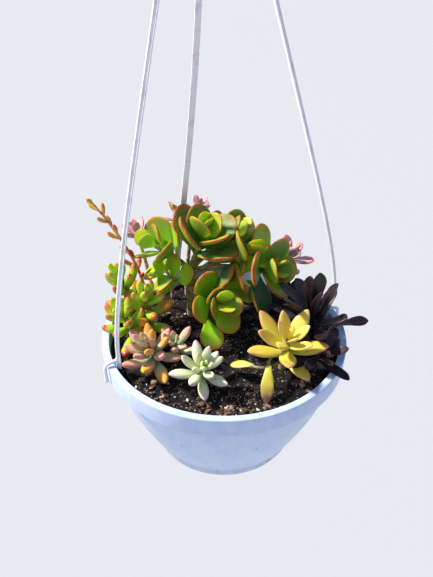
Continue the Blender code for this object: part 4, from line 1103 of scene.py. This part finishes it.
def grown(name):
    """The settled leaves of one plant, each with its stem's number and its age: 0 at the bottom, 1 at the tip."""
    obstacles = list(strand_trees)
    for other, trees in solid.items():
        if other != name:
            obstacles += trees
    draw = random.Random(name)
    kept, blades = [], []
    stems = PLANTING[name]
    for number, one in enumerate(stems):
        rest = [tree_of(tube_rings(s["path"], s["radii"], STEM_SIDES)) for s in stems if s is not one]
        for leaf in grow_leaves(one, draw):
            placed = settle(leaf, obstacles, rest + blades)
            if placed is not None:
                placed["stem"] = number
                kept.append(placed)
                blades.append(tree_of(leaf_rings(placed)[1:]))
    solid[name] += [tree_of(leaf_rings(placed)) for placed in kept]
    return kept


# The pattern leaf is a ball drawn out from root to tip, and each leaf is a copy laid along its own midrib.
LEAF_SIDES = 18
LEAF_RINGS = 16
bpy.ops.object.select_all(action="DESELECT")
bpy.ops.mesh.primitive_uv_sphere_add(segments=LEAF_SIDES, ring_count=LEAF_RINGS, radius=1)
pattern_leaf = bpy.context.object
pattern_leaf.data.shade_smooth()
pattern_points = []
for vert in pattern_leaf.data.vertices:
    ring_number = LEAF_RINGS - round(math.acos(max(-1, min(1, vert.co.z))) / math.pi * LEAF_RINGS)
    round_angle = math.atan2(vert.co.y, vert.co.x)
    pattern_points.append((ring_number, round_angle, 0 < ring_number < LEAF_RINGS))
for name in ("place", "tone"):
    pattern_leaf.data.attributes.new(name, "FLOAT_VECTOR", "POINT")
pattern_leaf.hide_render = True


def lay_leaf(leaf, draw, tone, twist=8.0, sweep=0.04, wave=0.0):
    """A copy of the pattern leaf, laid along the leaf's midrib with a slight twist and sweep of its own."""
    kind = LEAF_KINDS[leaf["kind"]]
    half_width = leaf["length"] * kind["width"] * leaf["broad"] / 2
    half_depth = leaf["length"] * kind["depth"] / 2
    across = leaf["along"].cross(leaf["upward"])
    twist = math.radians(draw.uniform(-twist, twist))
    sweep = draw.uniform(-sweep, sweep) * leaf["length"]
    wave_place, wave = draw.uniform(0, math.tau), wave * half_width
    rings = []
    for number in range(LEAF_RINGS + 1):
        step = max(number - 1, 0) / (LEAF_RINGS - 1)
        fraction = math.sin(0.5 * math.pi * step) ** 1.05
        centre, normal, angle = midrib(leaf, fraction)
        turn = twist * fraction
        side = across * math.cos(turn) + normal * math.sin(turn)
        face = normal * math.cos(turn) - across * math.sin(turn)
        share = outline_at(kind, fraction)
        rings.append((fraction, centre + across * sweep * fraction**2, side, face, half_width * share, half_depth * share**0.7))
    power = 2 / kind["box"]
    spots = [[] for _ in range(LEAF_RINGS + 1)]
    places = np.zeros((len(pattern_points), 3), np.float32)
    points = [None] * len(pattern_points)
    for index, (number, around, on_ring) in enumerate(pattern_points):
        fraction, centre, side, face, wide, deep = rings[number]
        x = -math.copysign(abs(math.cos(around)) ** power, math.cos(around)) if on_ring else 0.0
        y = math.copysign(abs(math.sin(around)) ** power, math.sin(around)) if on_ring else 0.0
        raised = deep * y * (0.75 if y > 0 else 1.0) + kind["cup"] * wide * x * x
        raised += wave * x * x * math.sin(9 * fraction + wave_place + 1.5 * x)
        points[index] = centre + side * (wide * x) + face * raised
        places[index] = (x, fraction, y)
        spots[number].append(index)
    lifted = 0.0
    for ring in spots:
        for index in ring:
            low = points[index]
            lifted += max(ground_height(low.x, low.y) - (low.z + lifted), 0)
        for index in ring:
            points[index] = points[index] + UP * lifted + RIM_CENTRE
    copy = pattern_leaf.copy()
    copy.data = pattern_leaf.data.copy()
    copy.hide_render = False
    bpy.context.scene.collection.objects.link(copy)
    copy.data.vertices.foreach_set("co", np.array([tuple(point) for point in points], np.float32).ravel())
    copy.data.attributes["place"].data.foreach_set("vector", places.ravel())
    tones = np.tile(np.array(tone, np.float32), (len(points), 1))
    copy.data.attributes["tone"].data.foreach_set("vector", tones.ravel())
    copy.data.update()
    return copy


def fine_stem(one, knuckle=0.0, spacing=0.008):
    """The stem as a smooth rod, swollen at the knuckles where leaves have been."""
    steps = 22
    path = [bezier(one["handles"], i / (steps - 1)) for i in range(steps)]
    first, last = one["radii"][1], one["radii"][-1]
    radii = [first + (last - first) * i / (steps - 1) for i in range(steps)]
    travelled = 0.0
    for i in range(1, steps):
        travelled += (path[i] - path[i - 1]).length
        radii[i] *= 1 + knuckle * max(math.cos(math.tau * travelled / spacing), 0) ** 3
    if one["bottom"] is not None:
        path = [one["bottom"]] + path
        radii = [first] + radii
    return rod_along("stem", [point + RIM_CENTRE for point in path], radii)


def leaf_skin(name, sunny, shady, young, margin, underside_and_shade, settings, flank=1.0, mottle=0.10, withered="#6b4a2c"):
    """The skin of a succulent leaf. sunny and shady are its colours from root to tip on the brightest and the
    darkest leaf; young is the centre's colour, and margin the colours toward its edge with how strongly each shows.
    flank is how far down its sides the margin runs."""
    made, tree, shader = new_material(name, settings)
    place = add_node(tree, "ShaderNodeTexCoord").outputs["Object"]
    on_leaf = add_node(tree, "ShaderNodeAttribute", {"attribute_name": "place"}).outputs["Vector"]
    leaf_tone = add_node(tree, "ShaderNodeAttribute", {"attribute_name": "tone"}).outputs["Vector"]
    spot = add_node(tree, "ShaderNodeSeparateXYZ", links={0: on_leaf})
    tone = add_node(tree, "ShaderNodeSeparateXYZ", links={0: leaf_tone})
    cloud = add_node(tree, "ShaderNodeTexNoise", {"Scale": 110.0, "Detail": 4.0, "Roughness": 0.6}, {"Vector": place})
    fine = add_node(tree, "ShaderNodeTexNoise", {"Scale": 900.0, "Detail": 3.0, "Roughness": 0.6}, {"Vector": place})
    drift = add_node(
        tree, "ShaderNodeMath", {"operation": "MULTIPLY_ADD", 1: 0.30, 2: -0.15}, {0: cloud.outputs["Fac"]}
    ).outputs[0]
    along = add_node(tree, "ShaderNodeMath", {"operation": "ADD"}, {0: spot.outputs["Y"], 1: drift}).outputs[0]
    # The tone's X mixes the sunny and shady colours: painted light and shade where a plant's shades set it by where
    # light fell, a random tone elsewhere.
    bright = add_node(tree, "ShaderNodeValToRGB", {"ramp": sunny}, {"Fac": along}).outputs["Color"]
    dark = add_node(tree, "ShaderNodeValToRGB", {"ramp": shady}, {"Fac": along}).outputs["Color"]
    colour = add_node(tree, "ShaderNodeMix", {"data_type": "RGBA"}, {0: tone.outputs["X"], 6: dark, 7: bright}).outputs[2]
    youth = add_node(tree, "ShaderNodeMath", {"operation": "POWER", 1: 2.5}, {0: tone.outputs["Y"]}).outputs[0]
    youth = add_node(tree, "ShaderNodeMath", {"operation": "MULTIPLY", 1: 0.85}, {0: youth}).outputs[0]
    colour = add_node(
        tree, "ShaderNodeMix", {"data_type": "RGBA", 7: linear(young)}, {0: youth, 6: colour}
    ).outputs[2]
    # The lower face takes the underside colour: the leaf's own underside colour, and on the pale pink leaves a painted
    # blue-grey shade.
    below = add_node(
        tree, "ShaderNodeMapRange", {"From Min": 0.1, "From Max": -0.4, "To Max": underside_and_shade[1]}, {"Value": spot.outputs["Z"]}
    ).outputs[0]
    colour = add_node(
        tree, "ShaderNodeMix", {"data_type": "RGBA", 7: linear(underside_and_shade[0])}, {0: below, 6: colour}
    ).outputs[2]
    side = add_node(tree, "ShaderNodeMath", {"operation": "ABSOLUTE"}, {0: spot.outputs["X"]}).outputs[0]
    side = add_node(tree, "ShaderNodeMath", {"operation": "POWER", 1: 3.0}, {0: side}).outputs[0]
    outer = add_node(tree, "ShaderNodeMath", {"operation": "POWER", 1: 6.0}, {0: spot.outputs["Y"]}).outputs[0]
    half_way = add_node(
        tree, "ShaderNodeMapRange", {"From Min": 0.15, "From Max": 0.6, "To Max": flank}, {"Value": spot.outputs["Y"]}
    ).outputs[0]
    side = add_node(tree, "ShaderNodeMath", {"operation": "MULTIPLY"}, {0: side, 1: half_way}).outputs[0]
    edge = add_node(tree, "ShaderNodeMath", {"operation": "MAXIMUM"}, {0: side, 1: outer}).outputs[0]
    own = add_node(tree, "ShaderNodeMath", {"operation": "MULTIPLY", 1: 17.0}, {0: tone.outputs["X"]}).outputs[0]
    own = add_node(tree, "ShaderNodeMath", {"operation": "FRACT"}, {0: own}).outputs[0]
    own = add_node(tree, "ShaderNodeMath", {"operation": "MULTIPLY_ADD", 1: 0.36, 2: -0.26}, {0: own}).outputs[0]
    edge = add_node(tree, "ShaderNodeMath", {"operation": "ADD"}, {0: edge, 1: own}).outputs[0]
    edge = add_node(tree, "ShaderNodeMath", {"operation": "ADD"}, {0: edge, 1: drift}).outputs[0]
    rim_colour = add_node(tree, "ShaderNodeValToRGB", {"ramp": margin}, {"Fac": edge})
    colour = add_node(
        tree, "ShaderNodeMix", {"data_type": "RGBA"}, {0: rim_colour.outputs["Alpha"], 6: colour, 7: rim_colour.outputs["Color"]}
    ).outputs[2]
    dryness = add_node(tree, "ShaderNodeMath", {"operation": "MULTIPLY"}, {0: tone.outputs["Z"], 1: along}).outputs[0]
    dryness = add_node(tree, "ShaderNodeMapRange", {"From Min": 0.55, "From Max": 0.95}, {"Value": dryness}).outputs[0]
    colour = add_node(
        tree, "ShaderNodeMix", {"data_type": "RGBA", 7: linear(withered)}, {0: dryness, 6: colour}
    ).outputs[2]
    blotch = add_node(
        tree, "ShaderNodeMapRange", {"To Min": 1 - mottle, "To Max": 1 + mottle}, {"Value": fine.outputs["Fac"]}
    ).outputs[0]
    colour = add_node(
        tree, "ShaderNodeHueSaturation", {"Saturation": 1.0, "Fac": 1.0}, {"Value": blotch, "Color": colour}
    ).outputs["Color"]
    pores = add_node(tree, "ShaderNodeTexVoronoi", {"Scale": 800.0}, {"Vector": place})
    pore = add_node(
        tree, "ShaderNodeMapRange", {"From Min": 0.20, "From Max": 0.08, "To Max": 0.22}, {"Value": pores.outputs["Distance"]}
    ).outputs[0]
    colour = add_node(
        tree, "ShaderNodeMix", {"data_type": "RGBA", 7: linear("#eef2cf")}, {0: pore, 6: colour}
    ).outputs[2]
    tree.links.new(colour, shader.inputs["Base Color"])
    skin = add_node(tree, "ShaderNodeBump", {"Strength": 0.10, "Distance": 0.0003}, {"Height": fine.outputs["Fac"]})
    tree.links.new(skin.outputs["Normal"], shader.inputs["Normal"])
    return made


def stem_bark(name, young, old, ring_colour, settings):
    """Bark of a succulent stem: two shades in patches, with darker rings where leaves have been."""
    made, tree, shader = new_material(name, settings)
    place = add_node(tree, "ShaderNodeTexCoord").outputs["Object"]
    cloud = add_node(tree, "ShaderNodeTexNoise", {"Scale": 190.0, "Detail": 5.0, "Roughness": 0.65}, {"Vector": place})
    fine = add_node(tree, "ShaderNodeTexNoise", {"Scale": 1100.0, "Detail": 3.0}, {"Vector": place})
    rings = add_node(
        tree, "ShaderNodeTexWave", {"bands_direction": "Z", "Scale": 32.0, "Distortion": 3.0, "Detail": 2.0},
        {"Vector": place},
    )
    colour = add_node(
        tree, "ShaderNodeValToRGB", {"ramp": [(0.38, old), (0.62, young)]}, {"Fac": cloud.outputs["Fac"]}
    ).outputs["Color"]
    scar = add_node(
        tree, "ShaderNodeMapRange", {"From Min": 0.80, "From Max": 0.98, "To Max": 0.7}, {"Value": rings.outputs["Fac"]}
    ).outputs[0]
    colour = add_node(
        tree, "ShaderNodeMix", {"data_type": "RGBA", 7: linear(ring_colour)}, {0: scar, 6: colour}
    ).outputs[2]
    tree.links.new(colour, shader.inputs["Base Color"])
    rough = add_node(tree, "ShaderNodeBump", {"Strength": 0.4, "Distance": 0.0004}, {"Height": fine.outputs["Fac"]})
    tree.links.new(rough.outputs["Normal"], shader.inputs["Normal"])
    return made


def plant(name, leaf_piece, stem_piece, skin, bark, slot_name, shades, **shape):
    """One plant's leaves and stems as two pieces. shades(leaf, draw) gives a leaf's brightness, youth and dryness."""
    draw = random.Random(name + " finish")
    leaves = [lay_leaf(leaf, draw, shades(leaf, draw), **shape) for leaf in grown(name)]
    leaves = join(leaves, leaf_piece)
    finish(leaves, skin, slot_name, name)
    stems = join([fine_stem(one, knuckle=0.12) for one in PLANTING[name]], stem_piece)
    stems.data.shade_smooth()
    finish(stems, bark, slot_name)
    return leaves, stems


# Jade plant
# A young jade: a woody forked stem, olive and tan, with thick spoon-shaped leaves in crossed pairs. Sun has coloured
# their rims yellow, orange and red, and shines through the ones that face away. Some stems' leaves are also painted
# bright lime, as sunlit and lit through, and others dark green, as in shade: painted light and shade.
jade_skin = leaf_skin(
    "jade leaf",
    sunny=[(0.0, "#93cf18"), (0.40, "#b2e610"), (0.72, "#aed01c"), (0.95, "#bd9a28")],
    shady=[(0.0, "#38722a"), (0.40, "#2c6232"), (0.75, "#3a6446"), (1.0, "#6a5c40")],
    young="#b9d42a",
    margin=[(0.36, "#aab02c", 0.0), (0.60, "#c99a2c", 0.40), (0.80, "#cc6a2c", 0.70), (0.96, "#a23c30", 0.9)],
    underside_and_shade=("#6f8a3c", 0.45),
    settings={
        "Roughness": 0.44, "IOR": 1.40, "Subsurface Weight": 0.7, "Subsurface Scale": 0.007,
        "Subsurface Radius": (0.7, 1.0, 0.15), "Specular IOR Level": 0.35,
    },
)
jade_bark = stem_bark(
    "jade bark", "#b4b768", "#a08c58", "#6e5c38", {"Roughness": 0.7, "Subsurface Weight": 0.1, "Subsurface Scale": 0.002}
)


def jade_shades(leaf, draw):
    # Painted light and shade: a brightness is listed for each stem, high where its leaves stood in sun and low where
    # they stood in shade.
    sun = (0, 0.55, 0.90, 0.35, 0.40, 0.55, 0.20, 0.55, 0.50, 0.90, 0.40)[leaf["stem"]]
    bright = min(max(sun + draw.choice((-1, 1)) * draw.uniform(0.15, 0.42), 0), 1)
    return (bright, leaf["age"], 0.0)


plant("jade_plant", "jade_leaves", "jade_stems", jade_skin, jade_bark, "jade_leaf", jade_shades, twist=9, sweep=0.05, wave=0.04)

# Jelly bean stonecrops
# Three crowded stems and a tall bare one. The leaves are plump beans, lime green in the light with red tips, turning
# yellow and orange low down where they age.
bean_skin = leaf_skin(
    "jelly bean leaf",
    sunny=[(0.0, "#b4d422"), (0.5, "#bfe02c"), (0.78, "#d2cf3a"), (0.90, "#dc5a3c"), (1.0, "#bf2a3c")],
    shady=[(0.0, "#62a42a"), (0.5, "#78b82c"), (0.82, "#a9b838"), (0.93, "#d4483c"), (1.0, "#ac2438")],
    young="#bce03a",
    flank=0.25,
    margin=[(0.80, "#d9a03a", 0.0), (0.93, "#d2503a", 0.75), (1.0, "#b92d3a", 0.95)],
    underside_and_shade=("#86b030", 0.3),
    withered="#e0952a",
    settings={
        "Roughness": 0.30, "IOR": 1.42, "Subsurface Weight": 0.6, "Subsurface Scale": 0.004,
        "Subsurface Radius": (0.9, 1.0, 0.25), "Coat Weight": 0.15, "Coat Roughness": 0.2,
    },
)
bean_bark = stem_bark(
    "stonecrop stem", "#d79a6a", "#b46a48", "#8a4a36", {"Roughness": 0.6, "Subsurface Weight": 0.2, "Subsurface Scale": 0.002}
)


def bean_shades(leaf, draw):
    old = leaf["age"] < 0.3 and draw.random() < 0.6
    return (draw.uniform(0.2, 1.0), leaf["age"], 1.4 if old else 0.0)


for name in ("jelly_bean_front", "jelly_bean_middle", "jelly_bean_back"):
    plant(name, name + "_leaves", name + "_stem", bean_skin, bean_bark, "bean_leaf", bean_shades, twist=12, sweep=0.06)

# The tall stem stands free in the sun, so it has turned orange and red, with a yellow tuft at its tip.
flushed_skin = leaf_skin(
    "flushed jelly bean leaf",
    sunny=[(0.0, "#d9b04a"), (0.5, "#e0a84a"), (0.75, "#d9684a"), (1.0, "#b9283a")],
    shady=[(0.0, "#b98a3a"), (0.5, "#cf8a4a"), (0.75, "#c9483c"), (1.0, "#a82438")],
    young="#dccb3a",
    flank=0.4,
    margin=[(0.70, "#d9803a", 0.0), (0.90, "#cc4438", 0.7), (1.0, "#b02838", 0.95)],
    underside_and_shade=("#c98a4a", 0.3),
    withered="#c9403a",
    settings={
        "Roughness": 0.32, "IOR": 1.42, "Subsurface Weight": 0.6, "Subsurface Scale": 0.004,
        "Subsurface Radius": (1.0, 0.7, 0.25), "Coat Weight": 0.1, "Coat Roughness": 0.25,
    },
)
flushed_bark = stem_bark(
    "sunned stonecrop stem", "#eab083", "#d98a62", "#b05a48",
    {"Roughness": 0.55, "Subsurface Weight": 0.3, "Subsurface Scale": 0.002},
)
plant(
    "jelly_bean_tall", "jelly_bean_tall_leaves", "jelly_bean_tall_stem", flushed_skin, flushed_bark, "bean_leaf",
    bean_shades, twist=12, sweep=0.06,
)

# Blush rosettes
# A rosette and its offset with finger-thick leaves: blue-green at the heart, shading through sage and sand to rose and
# peach on the leaves that get the sun, all under a thin waxy bloom.
blush_skin = leaf_skin(
    "blush leaf",
    sunny=[(0.0, "#9fba8c"), (0.45, "#cbcb9c"), (0.72, "#ecb996"), (1.0, "#dc8674")],
    shady=[(0.0, "#7fa08e"), (0.48, "#a9b692"), (0.76, "#d3a58c"), (1.0, "#c4727a")],
    young="#bccb8c",
    margin=[(0.45, "#ecc6a0", 0.0), (0.75, "#e8a994", 0.5), (1.0, "#d9827c", 0.9)],
    underside_and_shade=("#c9947e", 0.30),
    withered="#eba63a",
    settings={
        "Roughness": 0.5, "IOR": 1.42, "Subsurface Weight": 0.4, "Subsurface Scale": 0.003,
        "Subsurface Radius": (1.0, 0.7, 0.4), "Sheen Weight": 0.15, "Sheen Roughness": 0.5,
    },
)
blush_bark = stem_bark(
    "rosette stem", "#a8a07c", "#8a7458", "#6a5440", {"Roughness": 0.7, "Subsurface Weight": 0.1, "Subsurface Scale": 0.002}
)


def blush_shades(leaf, draw):
    return (draw.uniform(0.1, 1.0), leaf["age"], 1.2 if draw.random() < 0.05 else 0.0)


for name in ("blush_rosette", "blush_offset"):
    plant(name, name + "_leaves", name + "_stem", blush_skin, blush_bark, "blush_leaf", blush_shades, twist=10, sweep=0.06)

# Frost rosette
# Narrower leaves under a thick white bloom, pale sage with cream tips, one or two of them blushed pink.
frost_skin = leaf_skin(
    "frosted leaf",
    sunny=[(0.0, "#c2da80"), (0.40, "#e0eab2"), (0.80, "#f2f0d2"), (1.0, "#eed2bb")],
    shady=[(0.0, "#a6c478"), (0.40, "#cddba2"), (0.80, "#e2e3c2"), (1.0, "#dcb09e")],
    young="#d6e27e",
    margin=[(0.6, "#e8e2c8", 0.0), (0.85, "#e9d2be", 0.5), (1.0, "#e0a49a", 0.8)],
    underside_and_shade=("#c4d2a8", 0.30),
    withered="#c9597e",
    settings={
        "Roughness": 0.55, "IOR": 1.42, "Subsurface Weight": 0.4, "Subsurface Scale": 0.003,
        "Subsurface Radius": (0.9, 1.0, 0.6), "Sheen Weight": 0.2, "Sheen Roughness": 0.5,
    },
)


def frost_shades(leaf, draw):
    return (draw.uniform(0.2, 1.0), leaf["age"], 1.2 if leaf["age"] < 0.3 and draw.random() < 0.3 else 0.0)


plant("frost_rosette", "frost_leaves", "frost_stem", frost_skin, blush_bark, "frost_leaf", frost_shades, twist=10, sweep=0.06)

# Golden rosette
# Broad pointed leaves, butter yellow with green hearts and peach tips, a little hollow above and keeled below. One old
# leaf has drooped onto the soil and gone brown at its tip.
gold_skin = leaf_skin(
    "golden leaf",
    sunny=[(0.0, "#e2dc5a"), (0.40, "#f4dc4c"), (0.78, "#f6d24a"), (1.0, "#f0b68a")],
    shady=[(0.0, "#b4c86c"), (0.40, "#d9d96e"), (0.78, "#ecd05c"), (1.0, "#dfa67c")],
    young="#f4e06a",
    margin=[(0.42, "#f2c848", 0.0), (0.70, "#f0b75a", 0.6), (0.95, "#e59a74", 0.9)],
    underside_and_shade=("#a9bf78", 0.55),
    withered="#6b4636",
    settings={
        "Roughness": 0.38, "IOR": 1.42, "Subsurface Weight": 0.5, "Subsurface Scale": 0.004,
        "Subsurface Radius": (1.0, 0.9, 0.2), "Coat Weight": 0.08, "Coat Roughness": 0.3,
    },
)


def gold_shades(leaf, draw):
    if leaf["stem"] == 1:
        return (0.9, 0.0, 1.15)
    # Painted shade: the low leaf on the second branch gets the darkest tone, as it lies in shade on the soil.
    if leaf["stem"] == 2:
        return (0.1, 0.0, 0.0)
    return (draw.uniform(0.3, 1.0), leaf["age"], 0.0)


plant("golden_rosette", "golden_leaves", "golden_stems", gold_skin, blush_bark, "golden_leaf", gold_shades, twist=10, sweep=0.05)

# Dark aeonium
# Three heads of thin strap-shaped leaves, widest near the tip and hollow above, almost black with wine red where the
# light comes through. Their skin is glossy.
aeonium_skin = leaf_skin(
    "dark aeonium leaf",
    sunny=[(0.0, "#3a2a30"), (0.5, "#2b1a24"), (0.85, "#3a1822"), (1.0, "#4a1c24")],
    shady=[(0.0, "#211a22"), (0.5, "#17121a"), (0.85, "#1b1219"), (1.0, "#26141b")],
    young="#3d3a30",
    margin=[(0.70, "#2a1620", 0.0), (0.92, "#4a2030", 0.6), (1.0, "#6a2c38", 0.8)],
    underside_and_shade=("#241a24", 0.4),
    settings={
        "Roughness": 0.45, "IOR": 1.42, "Subsurface Weight": 0.2, "Subsurface Scale": 0.002,
        "Subsurface Radius": (1.0, 0.2, 0.2), "Coat Weight": 0.05, "Coat Roughness": 0.3,
    },
)
aeonium_bark = stem_bark("aeonium stem", "#5a4a44", "#3a302e", "#2a2220", {"Roughness": 0.75})


def aeonium_shades(leaf, draw):
    return (draw.uniform(0.0, 0.9) ** 2, leaf["age"] * 0.6, 0.0)


for name in ("aeonium_tall", "aeonium_middle", "aeonium_front"):
    plant(name, name + "_leaves", name + "_stem", aeonium_skin, aeonium_bark, "dark_leaf", aeonium_shades, twist=16, sweep=0.10, wave=0.10)

# Ghost plants and the paddle plant
# Small pale rosettes on bare stems behind the jade: grey-pink leaves with rose edges. The withered head has dried to
# beige paper, and the paddle plant's leaves are pale pink. The blue-grey on the backs of these pale pink leaves is a
# painted shade.
ghost_skin = leaf_skin(
    "pale pink leaf",
    sunny=[(0.0, "#ddc6bc"), (0.5, "#ebc8bc"), (1.0, "#e5a09a")],
    shady=[(0.0, "#b0a6ac"), (0.5, "#c4aeb2"), (1.0, "#cf8a90")],
    young="#d99a90",
    margin=[(0.5, "#e2a39a", 0.0), (0.8, "#d97f80", 0.6), (1.0, "#c4586a", 0.9)],
    # Painted shade: the blue-grey given to the lower faces.
    underside_and_shade=("#8f96a8", 0.5),
    settings={
        "Roughness": 0.5, "IOR": 1.42, "Subsurface Weight": 0.4, "Subsurface Scale": 0.003,
        "Subsurface Radius": (1.0, 0.6, 0.5), "Sheen Weight": 0.15, "Sheen Roughness": 0.5,
    },
)
husk_skin = leaf_skin(
    "withered leaf",
    sunny=[(0.0, "#c99a66"), (0.5, "#dcb488"), (1.0, "#caa078")],
    shady=[(0.0, "#8a6440"), (0.5, "#a98058"), (1.0, "#8a6848")],
    young="#c9a070",
    margin=[(0.6, "#d9b890", 0.0), (1.0, "#efe0c8", 0.7)],
    underside_and_shade=("#a98262", 0.4),
    settings={"Roughness": 0.85, "IOR": 1.4, "Subsurface Weight": 0.2, "Subsurface Scale": 0.002},
    mottle=0.25,
)
ghost_bark = stem_bark(
    "ghost plant stem", "#d8c0a4", "#b08a6e", "#8a644e", {"Roughness": 0.7, "Subsurface Weight": 0.15, "Subsurface Scale": 0.002}
)


def ghost_shades(leaf, draw):
    return (draw.uniform(0.2, 1.0), leaf["age"], 0.0)


for name, skin, slot_name in (
    ("ghost_plant", ghost_skin, "pale_pink_leaf"),
    ("ghost_withered", husk_skin, "withered_leaf"),
    ("ghost_offset", ghost_skin, "pale_pink_leaf"),
    ("paddle_plant", ghost_skin, "pale_pink_leaf"),
):
    plant(name, name + "_leaves", name + "_stem", skin, ghost_bark, slot_name, ghost_shades, twist=12, sweep=0.06, wave=0.05)
bpy.data.objects.remove(pattern_leaf, do_unlink=True)

# Floor, light and camera
# The basket hangs a metre above a plain pale floor. A soft key light stands behind it on the left, as the photograph's
# sun does, and pale blue light fills the front.
FLOOR_DEPTH = 1.7
bpy.ops.object.select_all(action="DESELECT")
bpy.ops.mesh.primitive_plane_add(size=160, location=(0, 0, -FLOOR_DEPTH))
ground = bpy.context.object
ground.name = "floor"
paint, tree, shader = new_material("pale floor", {"Base Color": linear("#b9b9ba"), "Roughness": 0.9})
ground.data.materials.append(paint)

key = bpy.data.lights.new("key", "SUN")
key.energy = 6.4
key.angle = math.radians(5)
key.color = (1.0, 0.975, 0.93)
key_lamp = bpy.data.objects.new("key", key)
bpy.context.scene.collection.objects.link(key_lamp)
key_lamp.rotation_euler = Vector((-0.68, 0.20, 0.70)).to_track_quat("Z", "Y").to_euler()

fill = bpy.data.lights.new("fill", "SUN")
fill.energy = 0.7
fill.angle = math.radians(60)
fill.color = (0.80, 0.89, 1.0)
fill_lamp = bpy.data.objects.new("fill", fill)
bpy.context.scene.collection.objects.link(fill_lamp)
fill_lamp.rotation_euler = Vector((-0.25, -0.55, 0.80)).to_track_quat("Z", "Y").to_euler()

world = bpy.data.worlds.new("studio")
world.use_nodes = True
world.node_tree.nodes["Background"].inputs["Color"].default_value = linear("#8db2ff")
world.node_tree.nodes["Background"].inputs["Strength"].default_value = 0.26
bpy.context.scene.world = world
bpy.context.scene.view_settings.view_transform = "Standard"
bpy.context.scene.view_settings.look = "None"

lens = bpy.data.cameras.new("camera")
lens.lens = 47
lens.sensor_width = 36
lens.clip_end = 200
camera = bpy.data.objects.new("camera", lens)
camera.location = RIM_CENTRE + Vector((-0.016, -0.601, 0.491))
camera.rotation_euler = (math.radians(90 - 35.87), 0, math.radians(-0.77))
bpy.context.scene.collection.objects.link(camera)
bpy.context.scene.camera = camera
